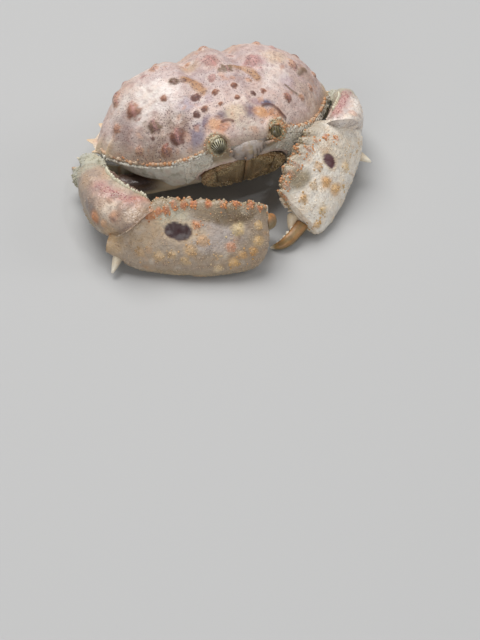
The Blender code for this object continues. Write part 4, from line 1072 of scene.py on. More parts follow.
# knobs of the palms and carpi: place, width and rise, colour of the top
clawKnobs = {
    "right": (
        ((-24.6, -46.3, 17.3), 2.6, 0.6, (216, 150, 106)), ((-24.1, -49.9, 13.5), 3.4, 0.9, (216, 176, 134)),
        ((-13.3, -52, 16.3), 3.8, 1.1, (228, 204, 156)), ((-28, -49.9, 10.7), 4, 0.9, (212, 176, 130)),
        ((-30.2, -50.4, 7.5), 3, 0.7, (206, 176, 134)), ((-16.5, -53.9, 11.8), 3, 0.8, (218, 166, 136)),
        ((-16.2, -56, 6.9), 3.2, 0.8, (218, 178, 120)), ((-13.5, -55.9, 9.2), 3, 0.8, (220, 176, 120)),
        ((-8.1, -55.5, 12.5), 3.2, 0.9, (224, 190, 138)), ((-10, -57, 10.1), 2.8, 0.8, (220, 176, 118)),
        ((-36.5, -37.6, 18.4), 3.4, 1, (200, 132, 84)), ((-37.4, -46.6, 8.6), 3.4, 0.6, (212, 184, 144)),
        ((-42, -42.6, 9), 3.2, 0.6, (206, 174, 134)), ((-21, -54.4, 5), 3.2, 0.6, (222, 200, 164)),
        ((-6.8, -53.4, 16.8), 2.6, 0.7, (224, 190, 140)), ((-20, -52.8, 9), 2.6, 0.6, (214, 186, 148)),
        ((-33.6, -48.2, 9.4), 2.8, 0.6, (210, 180, 138)), ((-51.6, -28.9, 15.2), 3.8, 1, (186, 124, 80)),
        ((-47.3, -35.2, 18.6), 3, 0.7, (206, 140, 94)), ((-50.2, -33, 15.4), 3, 0.7, (196, 150, 110)),
        ((-46.6, -29.6, 21.2), 2.8, 0.6, (206, 150, 120)), ((-49, -22, 18.6), 3, 0.7, (190, 150, 130))),
    "left": (
        ((22.2, -40.4, 14.3), 3.2, 0.8, (222, 178, 122)), ((25.3, -41.2, 11), 3.4, 0.9, (222, 182, 128)),
        ((12.1, -44.8, 14.3), 3.2, 0.9, (218, 178, 126)), ((31.4, -35, 13.6), 3.4, 0.7, (226, 200, 158)),
        ((33.4, -30.4, 15.6), 3, 0.7, (226, 200, 164)), ((18.2, -45.8, 8.4), 3.4, 0.9, (220, 190, 142)),
        ((12.8, -48, 5.1), 2.8, 0.9, (214, 170, 104)), ((15.2, -49.4, 5.9), 2.8, 0.9, (216, 172, 108)),
        ((7.2, -43.4, 12.1), 2.6, 0.8, (214, 172, 112)), ((36, -26.2, 14.4), 3.2, 0.6, (226, 204, 170)),
        ((28, -38, 9.6), 3, 0.7, (220, 190, 144)), ((17, -41.6, 15.6), 2.8, 0.7, (214, 186, 150)),
        ((20.4, -37, 18.6), 2.8, 0.7, (216, 180, 140)), ((40, -22.1, 23.6), 2.8, 0.7, (210, 146, 100)),
        ((44.8, -14, 19.6), 3.2, 0.8, (206, 160, 128)), ((41.6, -20.6, 20.6), 3, 0.8, (216, 176, 140)))}
# clusters of orange granules under the crests
crestTufts = {
    "right": ((-33.9, -38.6, 19.2), (-31.6, -39.2, 19.6), (-29.1, -39.9, 20.7), (-26.6, -40.8, 20.9),
              (-23.7, -41.9, 21.4), (-19.8, -44.2, 21.6), (-15.7, -46, 21.7), (-11.9, -47.4, 21.8),
              (-8.1, -49.1, 21.5), (-5.2, -50.3, 20.9)),
    "left": ((29.7, -29.4, 20.5), (25.9, -29, 22.4), (22.4, -30.4, 22.9), (19.2, -33, 22.9), (16, -35, 22.3),
             (13, -37.4, 21.4), (10.4, -39.6, 20.2), (7.6, -42, 18.2), (5.6, -44.2, 15.2))}
# marks of the claws: place, radius, colour and strength
clawMarks = {
    "right": (
        ((-20.4, -50.3, 15.1), (9, 9, 4.5), (196, 184, 178), 0.7),
        ((-30.9, -41.3, 18.4), (5, 5, 2.6), (206, 200, 178), 0.8),
        ((-13.7, -49, 19.6), (9, 4.5, 2.2), (112, 92, 62), 0.9),
        ((-21, -46, 19.8), (4, 3, 1.6), (138, 116, 84), 0.7),
        ((-39.2, -40.5, 14), (5, 5, 6), (206, 178, 142), 0.6),
        ((-26, -47.2, 15.8), (4.4, 3, 3), (208, 186, 152), 0.5),
        ((-45.9, -27.5, 21.2), (7, 9, 3.2), (214, 184, 170), 0.7),
        ((-38.9, -35.7, 18.5), (3.4, 3, 2.6), (180, 170, 172), 0.8),
        ((-47.4, -32.6, 19.9), (4.2, 3.6, 3.4), (236, 226, 210), 0.9),
        ((-43, -36.6, 18), (5, 2.4, 2.4), (166, 128, 92), 0.7),
        ((-47.3, -35.2, 19.2), (2.6, 1.6, 1.6), (210, 142, 94), 0.8),
        ((-52.1, -24.9, 17.5), (2.2, 3.6, 2.6), (112, 108, 112), 0.8),
        ((-51.6, -28.9, 15.2), (2.6, 2.6, 2.6), (188, 124, 78), 0.8),
        ((-51, -26, 9), (5, 9, 4), (158, 140, 104), 0.7),
        ((-50, -37, 12), (4, 5, 5), (204, 168, 118), 0.6),
        ((-42, -22, 21.4), (2.4, 8, 2), (196, 200, 180), 0.6)),
    "left": (
        ((28, -31, 19), (6, 5, 5), (218, 206, 188), 0.7),
        ((12.3, -40.8, 18.8), (4.5, 4, 2.4), (150, 134, 104), 0.85),
        ((22.2, -40.4, 14.3), (2.6, 2, 2.2), (226, 170, 104), 0.6),
        ((25.3, -41.2, 11), (3.2, 2, 2.2), (226, 176, 112), 0.6),
        ((16.7, -49.5, 3.7), (4, 3, 2.4), (236, 230, 218), 0.8),
        ((38.5, -19.2, 23.8), (4, 3.4, 3), (228, 218, 206), 0.8),
        ((40, -22.1, 24.1), (2, 1.6, 1.6), (212, 148, 100), 0.8),
        ((34, -14, 22.6), (3, 4, 3), (204, 172, 150), 0.5),
        ((44, -12, 16), (4, 6, 5), (186, 156, 124), 0.5))}
clawStreaks = {
    "right": (((-44, -34.3, 21.2), (-41, -33.2, 21.8), (-38.9, -33, 21.4), (-35.6, -34.6, 20.4)),),
    "left": (((46, -6, 19), (42, -12, 22), (37, -18, 23.6), (33.1, -22, 24.1)),)}
# the maroon spot of each palm: place, axis, half length, half width, colour
palmSpots = {
    "right": ((-30.2, -45, 15.3), (6.9, -4.6, -0.3), 4.5, 2.8, (46, 2, 12)),
    "left": ((25.3, -35.3, 18.3), (2.6, -4.8, -1.6), 3.4, 1.9, (78, 20, 34))}


clawTones = {
    "right": {"base": (172, 154, 134), "freckles": (146, 122, 104)},
    "left": {"base": (240, 232, 219), "freckles": (196, 178, 154)}}
clawClouds = (((204, 156, 108), 0.4, 0.12, 0.28, 4.4, 29), ((226, 216, 200), 0.35, 0.12, 0.3, 3.6, 37))


def paintClaw(points, name):
    look, wander = clawTones[name], 0.8 * noise(points, 3.4, 17)
    paint = allOver(points, look["base"])
    paint = paintOver(paint, (188, 172, 140), 0.6 * (1 - ramp(1, 5, points[..., 2])))
    for place, radius, colour, strength in clawMarks[name]:
        paint = paintOver(paint, colour, strength * patch(points, place, radius, wander, 0.45))
    for path in clawStreaks[name]:
        paint = paintOver(paint, (206, 132, 104), 0.7 * streak(points, path, 2.6, wander))
    paint = clouded(paint, points, clawClouds)
    paint = paintOver(paint, look["freckles"], 0.32 * cloud(points, 0.06, 0.26, 1.5, 39))
    fine = 0.8 * wander + 0.9 * noise(points, 1.2, 69)
    for place, width, high, colour in clawKnobs[name]:
        paint = paintOver(paint, colour, 0.75 * patch(points, place, (width * 0.5,) * 3, fine, 0.5))
    place, axis, long, short, colour = palmSpots[name]
    uneven = 0.5 * noise(points, 1.8, 67)
    spot = oval(points, place, axis, long, short, uneven)
    halo = oval(points, place, axis, 1.35 * long, 1.35 * short, uneven, 0.25) - spot
    paint = paintOver(paint, (216, 190, 156), 0.6 * np.clip(halo, 0, 1))
    return paintOver(paint, colour, 0.97 * spot), spot


def palmGrid(claw, rings=190, columns=150):
    # each ring is the palm's section, as high as crest to base there and its fatness deep
    crest, base = curveThrough(claw["crest"], rings), curveThrough(claw["base"], rings)
    fat = curveThrough(claw["fatness"], rings)
    down = base - crest
    along = np.gradient((crest + base) / 2, axis=0)
    out = unit(np.cross(along, down)) * claw["side"]
    deep = norm(down, axis=1, keepdims=True) * fat
    section = loopThrough(palmSection, columns)
    grid = crest[:, None] + down[:, None] * section[None, :, :1]
    grid = grid + (out * deep)[:, None] * section[None, :, 1:]
    return grid, crest, down, section


# the crest's teeth, how far the palm draws back at the wrist and how much it swells there
crestLooks = {
    "right": {"lobes": 9, "rise": (0.45, 1), "tuck": 1.6, "swell": 1.1},
    "left": {"lobes": 8, "rise": (0.9, 1.9), "tuck": 4.5, "swell": 1.2}}
# grains of the palms; a pair is a smallest and a largest width
palmGrains = {
    "tufts": {"each": 7, "spread": 0.8, "size": (0.45, 0.95), "root": (170, 106, 66),
              "tip": (216, 152, 100)},
    "knobs": {"each": 11, "spread": 0.34, "size": (0.4, 0.85)},
    "crest": {"count": 170, "size": (0.45, 1.25), "warmShare": 0.4, "root": (146, 126, 98),
              "warm": (204, 146, 100), "pale": (184, 170, 142), "outline": (1, 0.96, 0.8, 0.44)},
    "outside": {"count": 1700, "size": (0.25, 0.6), "pale": (232, 206, 172)},
    "edge": {"count": 11, "root": (206, 184, 150), "tip": (240, 230, 210), "outline": (1, 0.9, 0.6, 0.2)}}


def palmParts(name):
    # the palm's rings with lobes, knobs and roughness along their normals, and the beads on it
    claw, look = claws[name], crestLooks[name]
    grid, crest, down, section = palmGrid(claw)
    grid = roundEnds(grid, 0, 9)
    normal = gridNormals(grid)
    # the crest's lobes: low rounded teeth side by side, each a little different
    length = np.concatenate([[0], np.cumsum(norm(np.diff(crest, axis=0), axis=1))])
    starts = np.linspace(0.13, 0.97, look["lobes"] + 1) * length[-1]
    starts = starts + chance.uniform(-0.9, 0.9, len(starts))
    lobes = np.zeros(len(grid))
    for a, b in zip(starts[:-1], starts[1:]):
        t = np.clip((length - a) / (b - a), 0, 1)
        lobes = np.maximum(lobes, chance.uniform(*look["rise"]) * np.sin(np.pi * t) ** 0.8)
    top = (1 - ramp(0.02, 0.16, section[:, 0])) * np.where(section[:, 1] > -0.08, 1, 0.6)
    rise = -unit(down)
    coarse, fine = noise(grid, 5.2, 43), noise(grid, 1.5, 47)
    knobs = knobRise(grid, [(*place, width, 0.7 * high) for place, width, high, colour in clawKnobs[name]])
    tufts = knobRise(grid, [(*place, 3, 0.55) for place in crestTufts[name]])
    outside = ramp(-0.1, 0.02, section[:, 1])[None]
    shaped = grid + rise[:, None] * (lobes[:, None] * top[None])[..., None]
    relief = knobs + tufts + (1.1 * coarse + 0.4 * fine) * (0.35 + 0.5 * outside)
    shaped = shaped + normal * relief[..., None]
    wrist = unit(claw["wristNormal"])
    beyond = (shaped - claw["wrist"]) @ wrist
    shaped = shaped + normal * (look["swell"] * np.exp(-(beyond / 5) ** 2) * outside)[..., None]
    shaped = stopAt(shaped, np.array(claw["wrist"]) - look["tuck"] * wrist, -wrist, soft=0.8)
    shaped = onFloor(stopAt(shaped, claw["finger"][0], claw["fingerNormal"]))
    paint, spot = paintClaw(grid, name)
    paint = paintOver(paint, (158, 144, 120), 0.65 * top[None])
    blotch = ramp(0.02, 0.3, tufts) * ramp(-0.25, 0.15, fine)
    paint = paintOver(paint, (196, 112, 62), 0.85 * blotch)
    inside = (1 - ramp(-0.16, -0.04, section[:, 1]))[None]
    paint = paintOver(paint, (232, 220, 200), 0.85 * inside)
    speck = np.clip(0.7 + 0.8 * noise(grid, 5, 53) - 2 * spot - inside * 0.7, 0, 1.1)
    parts = [skin(shaped, paint, speck, 1.3 - 1.3 * spot - 0.8 * inside)]
    parts += palmBeads(name, shaped, normal, rise, unit(np.gradient(crest, axis=0)), paint, spot)
    parts.append(spineForm(*claw["spine"]))
    return parts


def palmBeads(name, shaped, normal, rise, ahead, paint, spot):
    # grains crowd on the tufts and knobs, paler ones run along the crest and lie strewn over the outer side
    parts, last = [], len(shaped) - 1
    flat, outward = shaped.reshape(-1, 3), normal.reshape(-1, 3)
    look = palmGrains["tufts"]
    centres = np.repeat(np.array(crestTufts[name]), look["each"], axis=0)
    near = nearestOf(flat, centres + chance.normal(0, look["spread"], centres.shape))
    size = chance.uniform(*look["size"], len(near))
    parts.append(granules(flat[near], outward[near], size, look["root"], look["tip"], 0.3, 0.75, 7))
    look = palmGrains["knobs"]
    where = [(place, width, tone(*colour)) for place, width, high, colour in clawKnobs[name]
             for _ in range(look["each"])]
    places, widths, shades = (np.array(column) for column in zip(*where))
    near = nearestOf(flat, places + chance.normal(0, look["spread"], places.shape) * widths[:, None])
    size = chance.uniform(*look["size"], len(near))
    parts.append(granules(flat[near], outward[near], size, shades * 0.72, shades * 0.9, 0.2, 0.7, 7))
    look = palmGrains["crest"]
    row = (chance.uniform(0.13, 0.98, look["count"]) * last).astype(int)
    column = chance.integers(-4, 5, len(row))
    size = chance.uniform(*look["size"], len(row)) * np.where(np.abs(column) < 2, 1, 0.7)
    warm = (chance.random(len(row)) < look["warmShare"])[:, None]
    tips = np.where(warm, tone(*look["warm"]), tone(*look["pale"]))
    parts.append(smallForms(shaped[row, column] - rise[row] * 0.35, rise[row] + 0.8 * normal[row, column],
                            size * 0.85 + 0.1, size, look["root"], tips, look["outline"], 7))
    look = palmGrains["outside"]
    row = (chance.uniform(0.1, 0.97, look["count"]) * last).astype(int)
    column = chance.integers(3, 74, len(row))
    size = chance.uniform(*look["size"], len(row))
    keep = (spot[row, column] < 0.1) & (softNoise(shaped[row, column], 4, 97) > 0.35)
    row, column, size = row[keep], column[keep], size[keep]
    tint = paint[row, column]
    tips = blend(tint, look["pale"], 0.3)
    parts.append(granules(shaped[row, column], normal[row, column], size, tint * 0.95, tips, 0.12, 0.6))
    # small spikes on the distal edge
    look = palmGrains["edge"]
    row = (np.linspace(0.87, 0.985, look["count"]) * last).astype(int)
    parts.append(smallForms(shaped[row, 0] - rise[row] * 0.3, rise[row] + ahead[row] * 0.8, 1.3, 0.9,
                            look["root"], look["tip"], look["outline"], 7))
    return parts


def spineForm(root, tip, width, rootTone=(214, 198, 170), tipTone=(240, 232, 214)):
    # a cone that narrows slowly and ends blunt
    axis = np.subtract(tip, root)
    return smallForms([root], [axis], norm(axis), width, rootTone, tipTone,
                      (1.25, 1.05, 0.98, 0.9, 0.8, 0.68, 0.54, 0.38, 0.2), 18, speck=0.2)


carpusLooks = {
    "right": {
        "upper": (200, 174, 154), "draw": 1,
        "bulges": (((-41.7, -37.6, 15.2), 5, 1.2), ((-33.5, -36.5, 20), 4, 1.2)),
        "fringe": ((-43.6, -13.6, 18.2), (-42.8, -18.4, 19.6), (-41.2, -23.2, 20.2), (-38.6, -27.4, 20.6),
                   (-35.2, -32, 20.6)),
        "dots": ((-47.8, -21.7, 21), (-44.6, -27.5, 21.8), (-40.1, -33.3, 21.6))},
    "left": {
        "upper": (236, 226, 222), "draw": 1.6, "bulges": (),
        "fringe": ((42.4, -6, 20), (40.6, -9.6, 21.6), (38, -13, 22.8), (34.6, -16.4, 23.6)),
        "dots": ((44, -9, 20.6), (39.4, -15.2, 23.4), (34.4, -21, 24.2))}}
carpusClouds = (((150, 134, 126), 0.5, 0.04, 0.22, 3.2, 103), ((128, 98, 84), 0.4, 0.1, 0.26, 1.7, 105))
carpusGrains = {
    "fringe": {"count": 30, "size": (0.8, 1.5), "root": (176, 170, 148), "tip": (222, 218, 196),
               "outline": (1.1, 1, 0.75, 0.3)},
    "dots": {"rows": (-1.1, 0, 1), "each": 22, "size": (0.35, 0.65), "root": (150, 92, 98),
             "tip": (180, 122, 122)},
    "strewn": {"count": 1500, "size": (0.25, 0.6), "pale": (232, 206, 176)}}


def carpusParts(name):
    # a squared tube with noise, knobs and ridges along its normals, cut at its joints
    claw, look = claws[name], carpusLooks[name]
    grid = tubeGrid(claw["carpus"], claw["carpusWidths"], claw["carpusHeights"], 170, 140, fullness=2.5)
    normal = gridNormals(grid)
    coarse, fine = noise(grid, 5, 83), noise(grid, 1.5, 87)
    knobs = knobRise(grid, [(*place, width, high) for place, width, high, colour in clawKnobs[name]])
    ridge = sum(streak(grid, path, 3, soft=0.8) for path in clawStreaks[name])
    shaped = grid + normal * (0.9 * coarse + 0.3 * fine + knobs + 0.7 * ridge)[..., None]
    shaped = stopAt(shaped, claw["elbow"], -np.array(claw["elbowNormal"]))
    # the end draws in to meet the palm in a crease
    before = (np.array(claw["wrist"]) - shaped) @ unit(claw["wristNormal"])
    shaped = shaped - normal * (look["draw"] * np.exp(-(np.maximum(before, 0) / 2.4) ** 2))[..., None]
    shaped = onFloor(stopAt(shaped, claw["wrist"], claw["wristNormal"], 0, 0.6, look["bulges"]))
    paint = paintClaw(grid, name)[0]
    paint = paintOver(paint, look["upper"], 0.5 * ramp(14, 20, grid[..., 2]))
    # painted shade: the side towards the shell is painted dark and purplish below the fringe, where it faces
    # the shell; the near end is grey-green
    line = curveThrough(look["fringe"], 60)
    near = np.abs(grid[..., None, 1] - line[:, 1]).argmin(axis=-1)
    inner = ramp(0.1, 0.9, (line[near, 0] - grid[..., 0]) * claw["side"])
    paint = paintOver(paint, (100, 74, 66), 0.9 * (inner * ramp(3, 1, np.abs(near - 30) - 26)))
    green = ramp(-13.5, -9.5, grid[..., 1] + 2.5 * noise(grid, 3, 109))
    paint = paintOver(paint, (184, 182, 164), 0.85 * green)
    wander = noise(grid, 2.2, 101)
    # rows of purple-red dots, and painted shade in the crease where the carpus meets the palm
    paint = layered(paint,
        ((186, 124, 126), 0.45 * streak(grid, look["dots"], 5, 1.2 * wander, 0.7)),
        ((112, 84, 64), 0.6 * np.exp(-((before - 0.6) / 1.1) ** 2)))
    paint = clouded(paint, grid, carpusClouds)
    speck = np.clip(0.9 + 0.7 * noise(grid, 4, 89), 0, 1.2)
    return [skin(shaped, paint, speck, 1.3)] + carpusBeads(look, shaped, normal, paint)


def carpusBeads(look, shaped, normal, paint):
    # small teeth along the upper inner edge, rows of purple-red granules beside it, and grains all over
    flat, outward = shaped.reshape(-1, 3), normal.reshape(-1, 3)
    grains = carpusGrains["fringe"]
    near = nearestOf(flat, curveThrough(look["fringe"], grains["count"]))
    size = chance.uniform(*grains["size"], len(near))
    parts = [smallForms(flat[near] - outward[near] * 0.4, outward[near] + np.array((0, 0, 0.8)),
                        size * 1.1, size * 0.95, grains["root"], grains["tip"], grains["outline"], 8)]
    grains = carpusGrains["dots"]
    line = curveThrough(look["dots"], grains["each"])
    line = np.vstack([line + np.array((shift, 0, 0)) for shift in grains["rows"]])
    near = nearestOf(flat, line + chance.normal(0, 0.22, line.shape))
    size = chance.uniform(*grains["size"], len(near))
    parts.append(granules(flat[near], outward[near], size, grains["root"], grains["tip"], 0.15, 0.6))
    grains = carpusGrains["strewn"]
    pick = chance.integers(0, len(flat), grains["count"])
    pick = pick[(softNoise(flat[pick], 3.4, 107) > 0.4) & (outward[pick, 2] > -0.3)]
    size = chance.uniform(*grains["size"], len(pick))
    tint = paint.reshape(-1, 3)[pick]
    tips = blend(tint, grains["pale"], 0.3)
    parts.append(granules(flat[pick], outward[pick], size, tint * 0.9, tips, 0.12, 0.6))
    return parts


# the arm's wing, a lobe before the carpus and a lower one outside it: path, widths, heights and teeth
armWings = (
    {"path": ((44.8, -11, 13.6), (44.6, -5, 14.2), (44.8, 0, 13), (45.6, 3.4, 11.2)),
     "widths": (8, 8, 6.4, 3.6), "heights": (7, 6.4, 5, 3.4),
     "teeth": (((46.4, 2, 12), (47.6, 4.6, 12)), ((45, 3.2, 12), (45.2, 5.6, 12)))},
    {"path": ((45.6, -3, 10.6), (47.6, -0.8, 9.2), (48.7, -1, 7.2), (48.6, -3.4, 5.2)),
     "widths": (5.6, 6, 5, 3.2), "heights": (5, 5, 4.4, 3),
     "teeth": (((48.8, 0.6, 7.4), (50.6, 2, 7.2)),)})
wingLook = {"tone": (196, 194, 178), "clouds": (((132, 126, 96), 0.8, 0, 0.22, 2.4, 117),),
            "low": (128, 116, 78), "grains": 260, "grainSize": (0.3, 0.8),
            "grainPale": (208, 204, 184), "teeth": (186, 176, 150)}
armLook = {"ischium": (230, 218, 196), "merus": (222, 206, 178), "shade": (74, 50, 42)}


def armParts(name):
    # tubes from joint to joint, each cut by the planes that halve the bends
    claw = claws[name]
    hip, knee, elbow = (np.array(claw[key]) for key in ("hip", "knee", "elbow"))
    along = unit(knee - hip)
    plane = bendNormal(hip, knee, elbow)
    hipPlane = unit((claw["side"], -0.2, 0.1))
    sizes = (6.2, 6.4, 6.6)
    ischium = tubeGrid([hip - along * 2, (hip + knee) / 2, knee + along * 2], sizes, sizes, 40, 48)
    ischium = stopAt(stopAt(ischium, hip, -hipPlane), knee, plane)
    along = unit(elbow - knee)
    sizes = (6.6, 7.8, 8)
    merus = tubeGrid([knee - along * 2, (knee + elbow) / 2, elbow + along * 6], sizes, sizes, 90, 56)
    merus = merus + gridNormals(merus) * (0.5 * noise(merus, 3.6, 19))[..., None]
    merus = stopAt(stopAt(merus, knee, -plane), elbow, claw["elbowNormal"])
    # painted shade: the merus is painted almost black-brown on its outer upper side, under the shell's edge
    dark = ramp(22, 30, np.abs(merus[..., 0])) * ramp(5.5, 8.5, merus[..., 2])
    paint = paintOver(allOver(merus, armLook["merus"]), armLook["shade"], 0.97 * dark)
    parts = [skin(ischium, tone(*armLook["ischium"]), 0.1, 0.3), skin(merus, paint, 0.3, 0.6)]
    parts.append(spineForm(*claw["armSpine"]))
    return parts + [part for wing in armWings for part in wingParts(wing, (claw["side"], 1, 1))]


def wingParts(wing, mirror):
    # a grey-green granular lobe edged with teeth
    look = wingLook
    grid = tubeGrid(np.array(wing["path"]) * mirror, wing["widths"], wing["heights"], 60, 44, fullness=2.4)
    grid = roundEnds(grid, 6, 9)
    normal = gridNormals(grid)
    grid = grid + normal * (0.8 * noise(grid, 3, 115))[..., None]
    paint = clouded(allOver(grid, look["tone"]), grid, look["clouds"])
    # painted shade: the lobe darkens to olive-brown towards its lower side
    paint = paintOver(paint, look["low"], 0.8 * ramp(10, 6, grid[..., 2]))
    flat, outward = grid.reshape(-1, 3), normal.reshape(-1, 3)
    pick = chance.integers(0, len(flat), look["grains"])
    size = chance.uniform(*look["grainSize"], len(pick))
    tint = paint.reshape(-1, 3)[pick]
    tips = blend(tint, look["grainPale"], 0.4)
    parts = [skin(grid, paint, 0.9, 1.2), granules(flat[pick], outward[pick], size, tint * 0.9, tips)]
    return parts + [spineForm(np.array(root) * mirror, np.array(tip) * mirror, 1.5, look["teeth"])
                    for root, tip in wing["teeth"]]


# tones of the fingers, the way their teeth point, and the bend of the fixed finger
fingerLooks = {
    "right": {"tone": (140, 122, 88), "bite": (-0.5, 0.75, 0.1), "hook": (0, 0.8, 1.4)},
    "left": {"tone": (128, 114, 72), "bite": (-0.1, 0.85, 0.5), "hook": (0.4, -0.6, 0.6)}}
fingerLook = {"ridge": (200, 134, 78), "tip": (236, 226, 204), "fixed": (228, 212, 184),
              "clouds": (((104, 86, 60), 0.5, 0, 0.25, 2.4, 59),),
              "teeth": 6, "toothRoot": (222, 206, 176), "toothTip": (244, 238, 222),
              "toothOutline": (1.1, 1, 0.85, 0.4)}


def fingerParts(name):
    # a tapering bent tube with two ridges along it, and its teeth
    claw, look, rings, columns = claws[name], fingerLook, 90, 56
    first, second = (np.array(p) for p in claw["finger"][:2])
    path = [first - unit(second - first) * 1.5, *claw["finger"][1:]]
    sizes = claw["fingerSizes"]
    grid = roundEnds(tubeGrid(path, sizes, sizes, rings, columns, fullness=2.2), 0, 10)
    normal = gridNormals(grid)
    turn = fullTurn(columns)
    ridge = np.clip(np.cos(turn - 1.2), 0, 1) ** 8 + 0.7 * np.clip(np.cos(turn - 2.6), 0, 1) ** 8
    share = np.linspace(0, 1, rings)[:, None]
    fade = 1 - ramp(0.7, 1, share)
    grid = grid + normal * ((ridge[None] * 0.35 * fade) + 0.25 * noise(grid, 2, 57))[..., None]
    grid = onFloor(stopAt(grid, first, -np.array(claw["fingerNormal"])))
    paint = allOver(grid, fingerLooks[name]["tone"])
    paint = paintOver(paint, look["ridge"], 0.6 * (ridge ** 0.7)[None] * fade)
    paint = paintOver(clouded(paint, grid, look["clouds"]), look["tip"], ramp(0.82, 1, share))
    # blunt teeth on the biting side
    count = look["teeth"]
    roots = curveThrough(path, count + 3)[2:-1]
    bite = np.array(fingerLooks[name]["bite"])
    width = np.interp(np.linspace(0.2, 0.9, count), np.linspace(0, 1, 4), sizes)
    teeth = smallForms(roots + unit(bite) * (width * 0.32)[:, None], np.tile(bite, (count, 1)),
                       width * 0.42, width * 0.5, look["toothRoot"], look["toothTip"],
                       look["toothOutline"], 9)
    return [skin(grid, paint, 0.4, 0.5), teeth]


def fixedFingerParts(name):
    # a tapering tube bent by its hook, no lower than the floor
    root, tip, width, blunt = claws[name]["fixedFinger"]
    root, tip, hook = np.array(root), np.array(tip), np.array(fingerLooks[name]["hook"])
    sizes = (width * 1.1, width, 0.62 * width + 0.38 * blunt, blunt)
    path = [root, root + (tip - root) * 0.4 + hook * 0.2, root + (tip - root) * 0.75 + hook * 0.3, tip]
    grid = onFloor(roundEnds(tubeGrid(path, sizes, sizes, 50, 40), 8, 8))
    return [skin(grid, tone(*fingerLook["fixed"]), 0.2, 0.4)]


for name in sides:
    for segment, parts, horn, nodes in (
            ("palm", palmParts(name) + fixedFingerParts(name), "clawHorn", ("palm",)),
            ("carpus", carpusParts(name), "clawHorn", ("carpus",)),
            ("arm", armParts(name), "limbHorn", ("ischium", "merus")),
            ("finger", fingerParts(name), "clawHorn", ("dactyl",))):
        whole = [f"claw_{name}_{node}" for node in nodes]
        makePiece(f"claw_{name}_{segment}_skin", parts, horn, whole)


# the legs: one skin from hip to tip, pinched at each joint
legs = {
    1: ((13, -5.4, 6.1), (36, -3, 8.1), (40.8, -0.4, 7.8), (46.4, 3.8, 5), (47.6, 14.2, 0.1)),
    2: ((13, 0.6, 6.1), (33.4, 7, 7.9), (36.6, 11, 7.2), (36.8, 17.2, 4.6), (31.2, 25.4, 0.1)),
    3: ((12.8, 6.8, 6.1), (29.4, 16.8, 7.9), (31, 21.2, 7.2), (28.8, 27.6, 4.6), (22.4, 37, 0.1)),
    4: ((12, 12.6, 6.1), (20.6, 22, 7.9), (21.8, 27, 7.2), (17.4, 33.2, 4.6), (8, 38.4, 0.1))}
legWidths = ((4.2, 4.8, 4.2), (3.9, 3.9, 3.9), (3.7, 4, 3), (2.8, 2.2, 0.5))
legHeights = ((4.2, 4.6, 4), (3.8, 3.8, 3.8), (3.7, 3.6, 2.8), (2.6, 2, 0.5))
legParts = ("merus", "carpus", "propodus", "dactyl")
legLook = {"tone": (232, 222, 198),
           "along": (((216, 186, 132), 0.55, 1.6, 3), ((196, 140, 76), 0.7, 3.35, 3.95)),
           "joints": (204, 160, 110), "clouds": (((238, 232, 216), 0.4, 0.1, 0.3, 3.5, 5),)}


def legGrid(number, side, rings=220, columns=40):
    # ovals along the line through the joints, with flared rims and pinched joints
    joints = np.array(legs[number], float) * (side, 1, 1)
    path, spot, wide, high, pinch = [], [], [], [], []
    for k in range(4):
        start, end = joints[k], joints[k + 1]
        lift = np.array((0, 0, 0.5 if k in (0, 3) else 0))
        # places along the segment: just past the joint, its flared rims, and its middle
        for t, flare in ((0, 0.7), (0.05, 0.96), (0.5, 1), (0.93, 1.06), (0.99, 0.8)):
            if k == 3 and t > 0.9:
                continue
            path.append(start + (end - start) * t + lift * 4 * t * (1 - t))
            spot.append(k + t)
            bulk = 1.0 if (k == 3 and t >= 0.5) or (k == 0 and t == 0) else flare
            wide.append(bulk * np.interp(t, (0, 0.5, 1), legWidths[k]))
            high.append(bulk * np.interp(t, (0, 0.5, 1), legHeights[k]))
            pinch.append(1.0 if t in (0, 0.99) else 0)
    for values, value in ((path, joints[4]), (spot, 4), (wide, 0.5), (high, 0.5), (pinch, 0)):
        values.append(value)
    # evenly read lengths along the polyline, bends rounded by averaging
    path, spot = np.array(path), np.array(spot)
    length = np.concatenate([[0], np.cumsum(norm(np.diff(path, axis=0), axis=1))])
    even = np.linspace(0, length[-1], rings)
    line = np.stack([np.interp(even, length, path[:, axis]) for axis in range(3)], axis=1)
    for _ in range(26):
        line[1:-1] = (line[:-2] + line[1:-1] * 2 + line[2:]) / 4
    sizes = [np.interp(even, length, values) for values in (wide, high, pinch, spot)]
    for _ in range(2):
        for values in sizes[:2]:
            values[1:-1] = (values[:-2] + 2 * values[1:-1] + values[2:]) / 4
    wide, high, pinch, along = sizes
    tangent = unit(np.gradient(line, axis=0))
    across = unit(np.cross(tangent, (0, 0, 1)))
    grid = ringsAlong(line, across, np.cross(across, tangent), wide, high, 0.86, columns)
    return grid, pinch, along, fullTurn(columns)


def legPart(number, side):
    grid, pinch, along, turn = legGrid(number, side)
    normal = gridNormals(grid)
    # a keel above, and grooves along the last segment
    keel = np.clip(np.sin(turn), 0, 1) ** 10
    last = ramp(3.05, 3.2, along)
    fade = (1 - ramp(3.8, 4, along))[:, None]
    groove = last[:, None] * (0.5 - 0.5 * np.cos(6 * turn))[None] * -0.22 * fade
    grid = grid + normal * (0.28 * keel[None] * (1 - last[:, None]) + groove
                            + 0.22 * noise(grid, 2.6, 11 * number))[..., None]
    grid = onFloor(roundEnds(grid, 3, 4))
    paint = allOver(grid, legLook["tone"])
    for colour, share, low, high in legLook["along"]:
        paint = paintOver(paint, colour, share * ramp(low, high, along)[:, None])
    paint = paintOver(paint, legLook["joints"], 0.6 * ramp(0.3, 0.9, pinch)[:, None])
    paint = clouded(paint, grid, legLook["clouds"])
    return skin(grid, paint, 0.25, 0.5)


for number in legs:
    for word, side in sides.items():
        makePiece(f"leg{number}_{word}_skin", [legPart(number, side)], "limbHorn",
                  [f"leg{number}_{word}_{part}" for part in legParts])


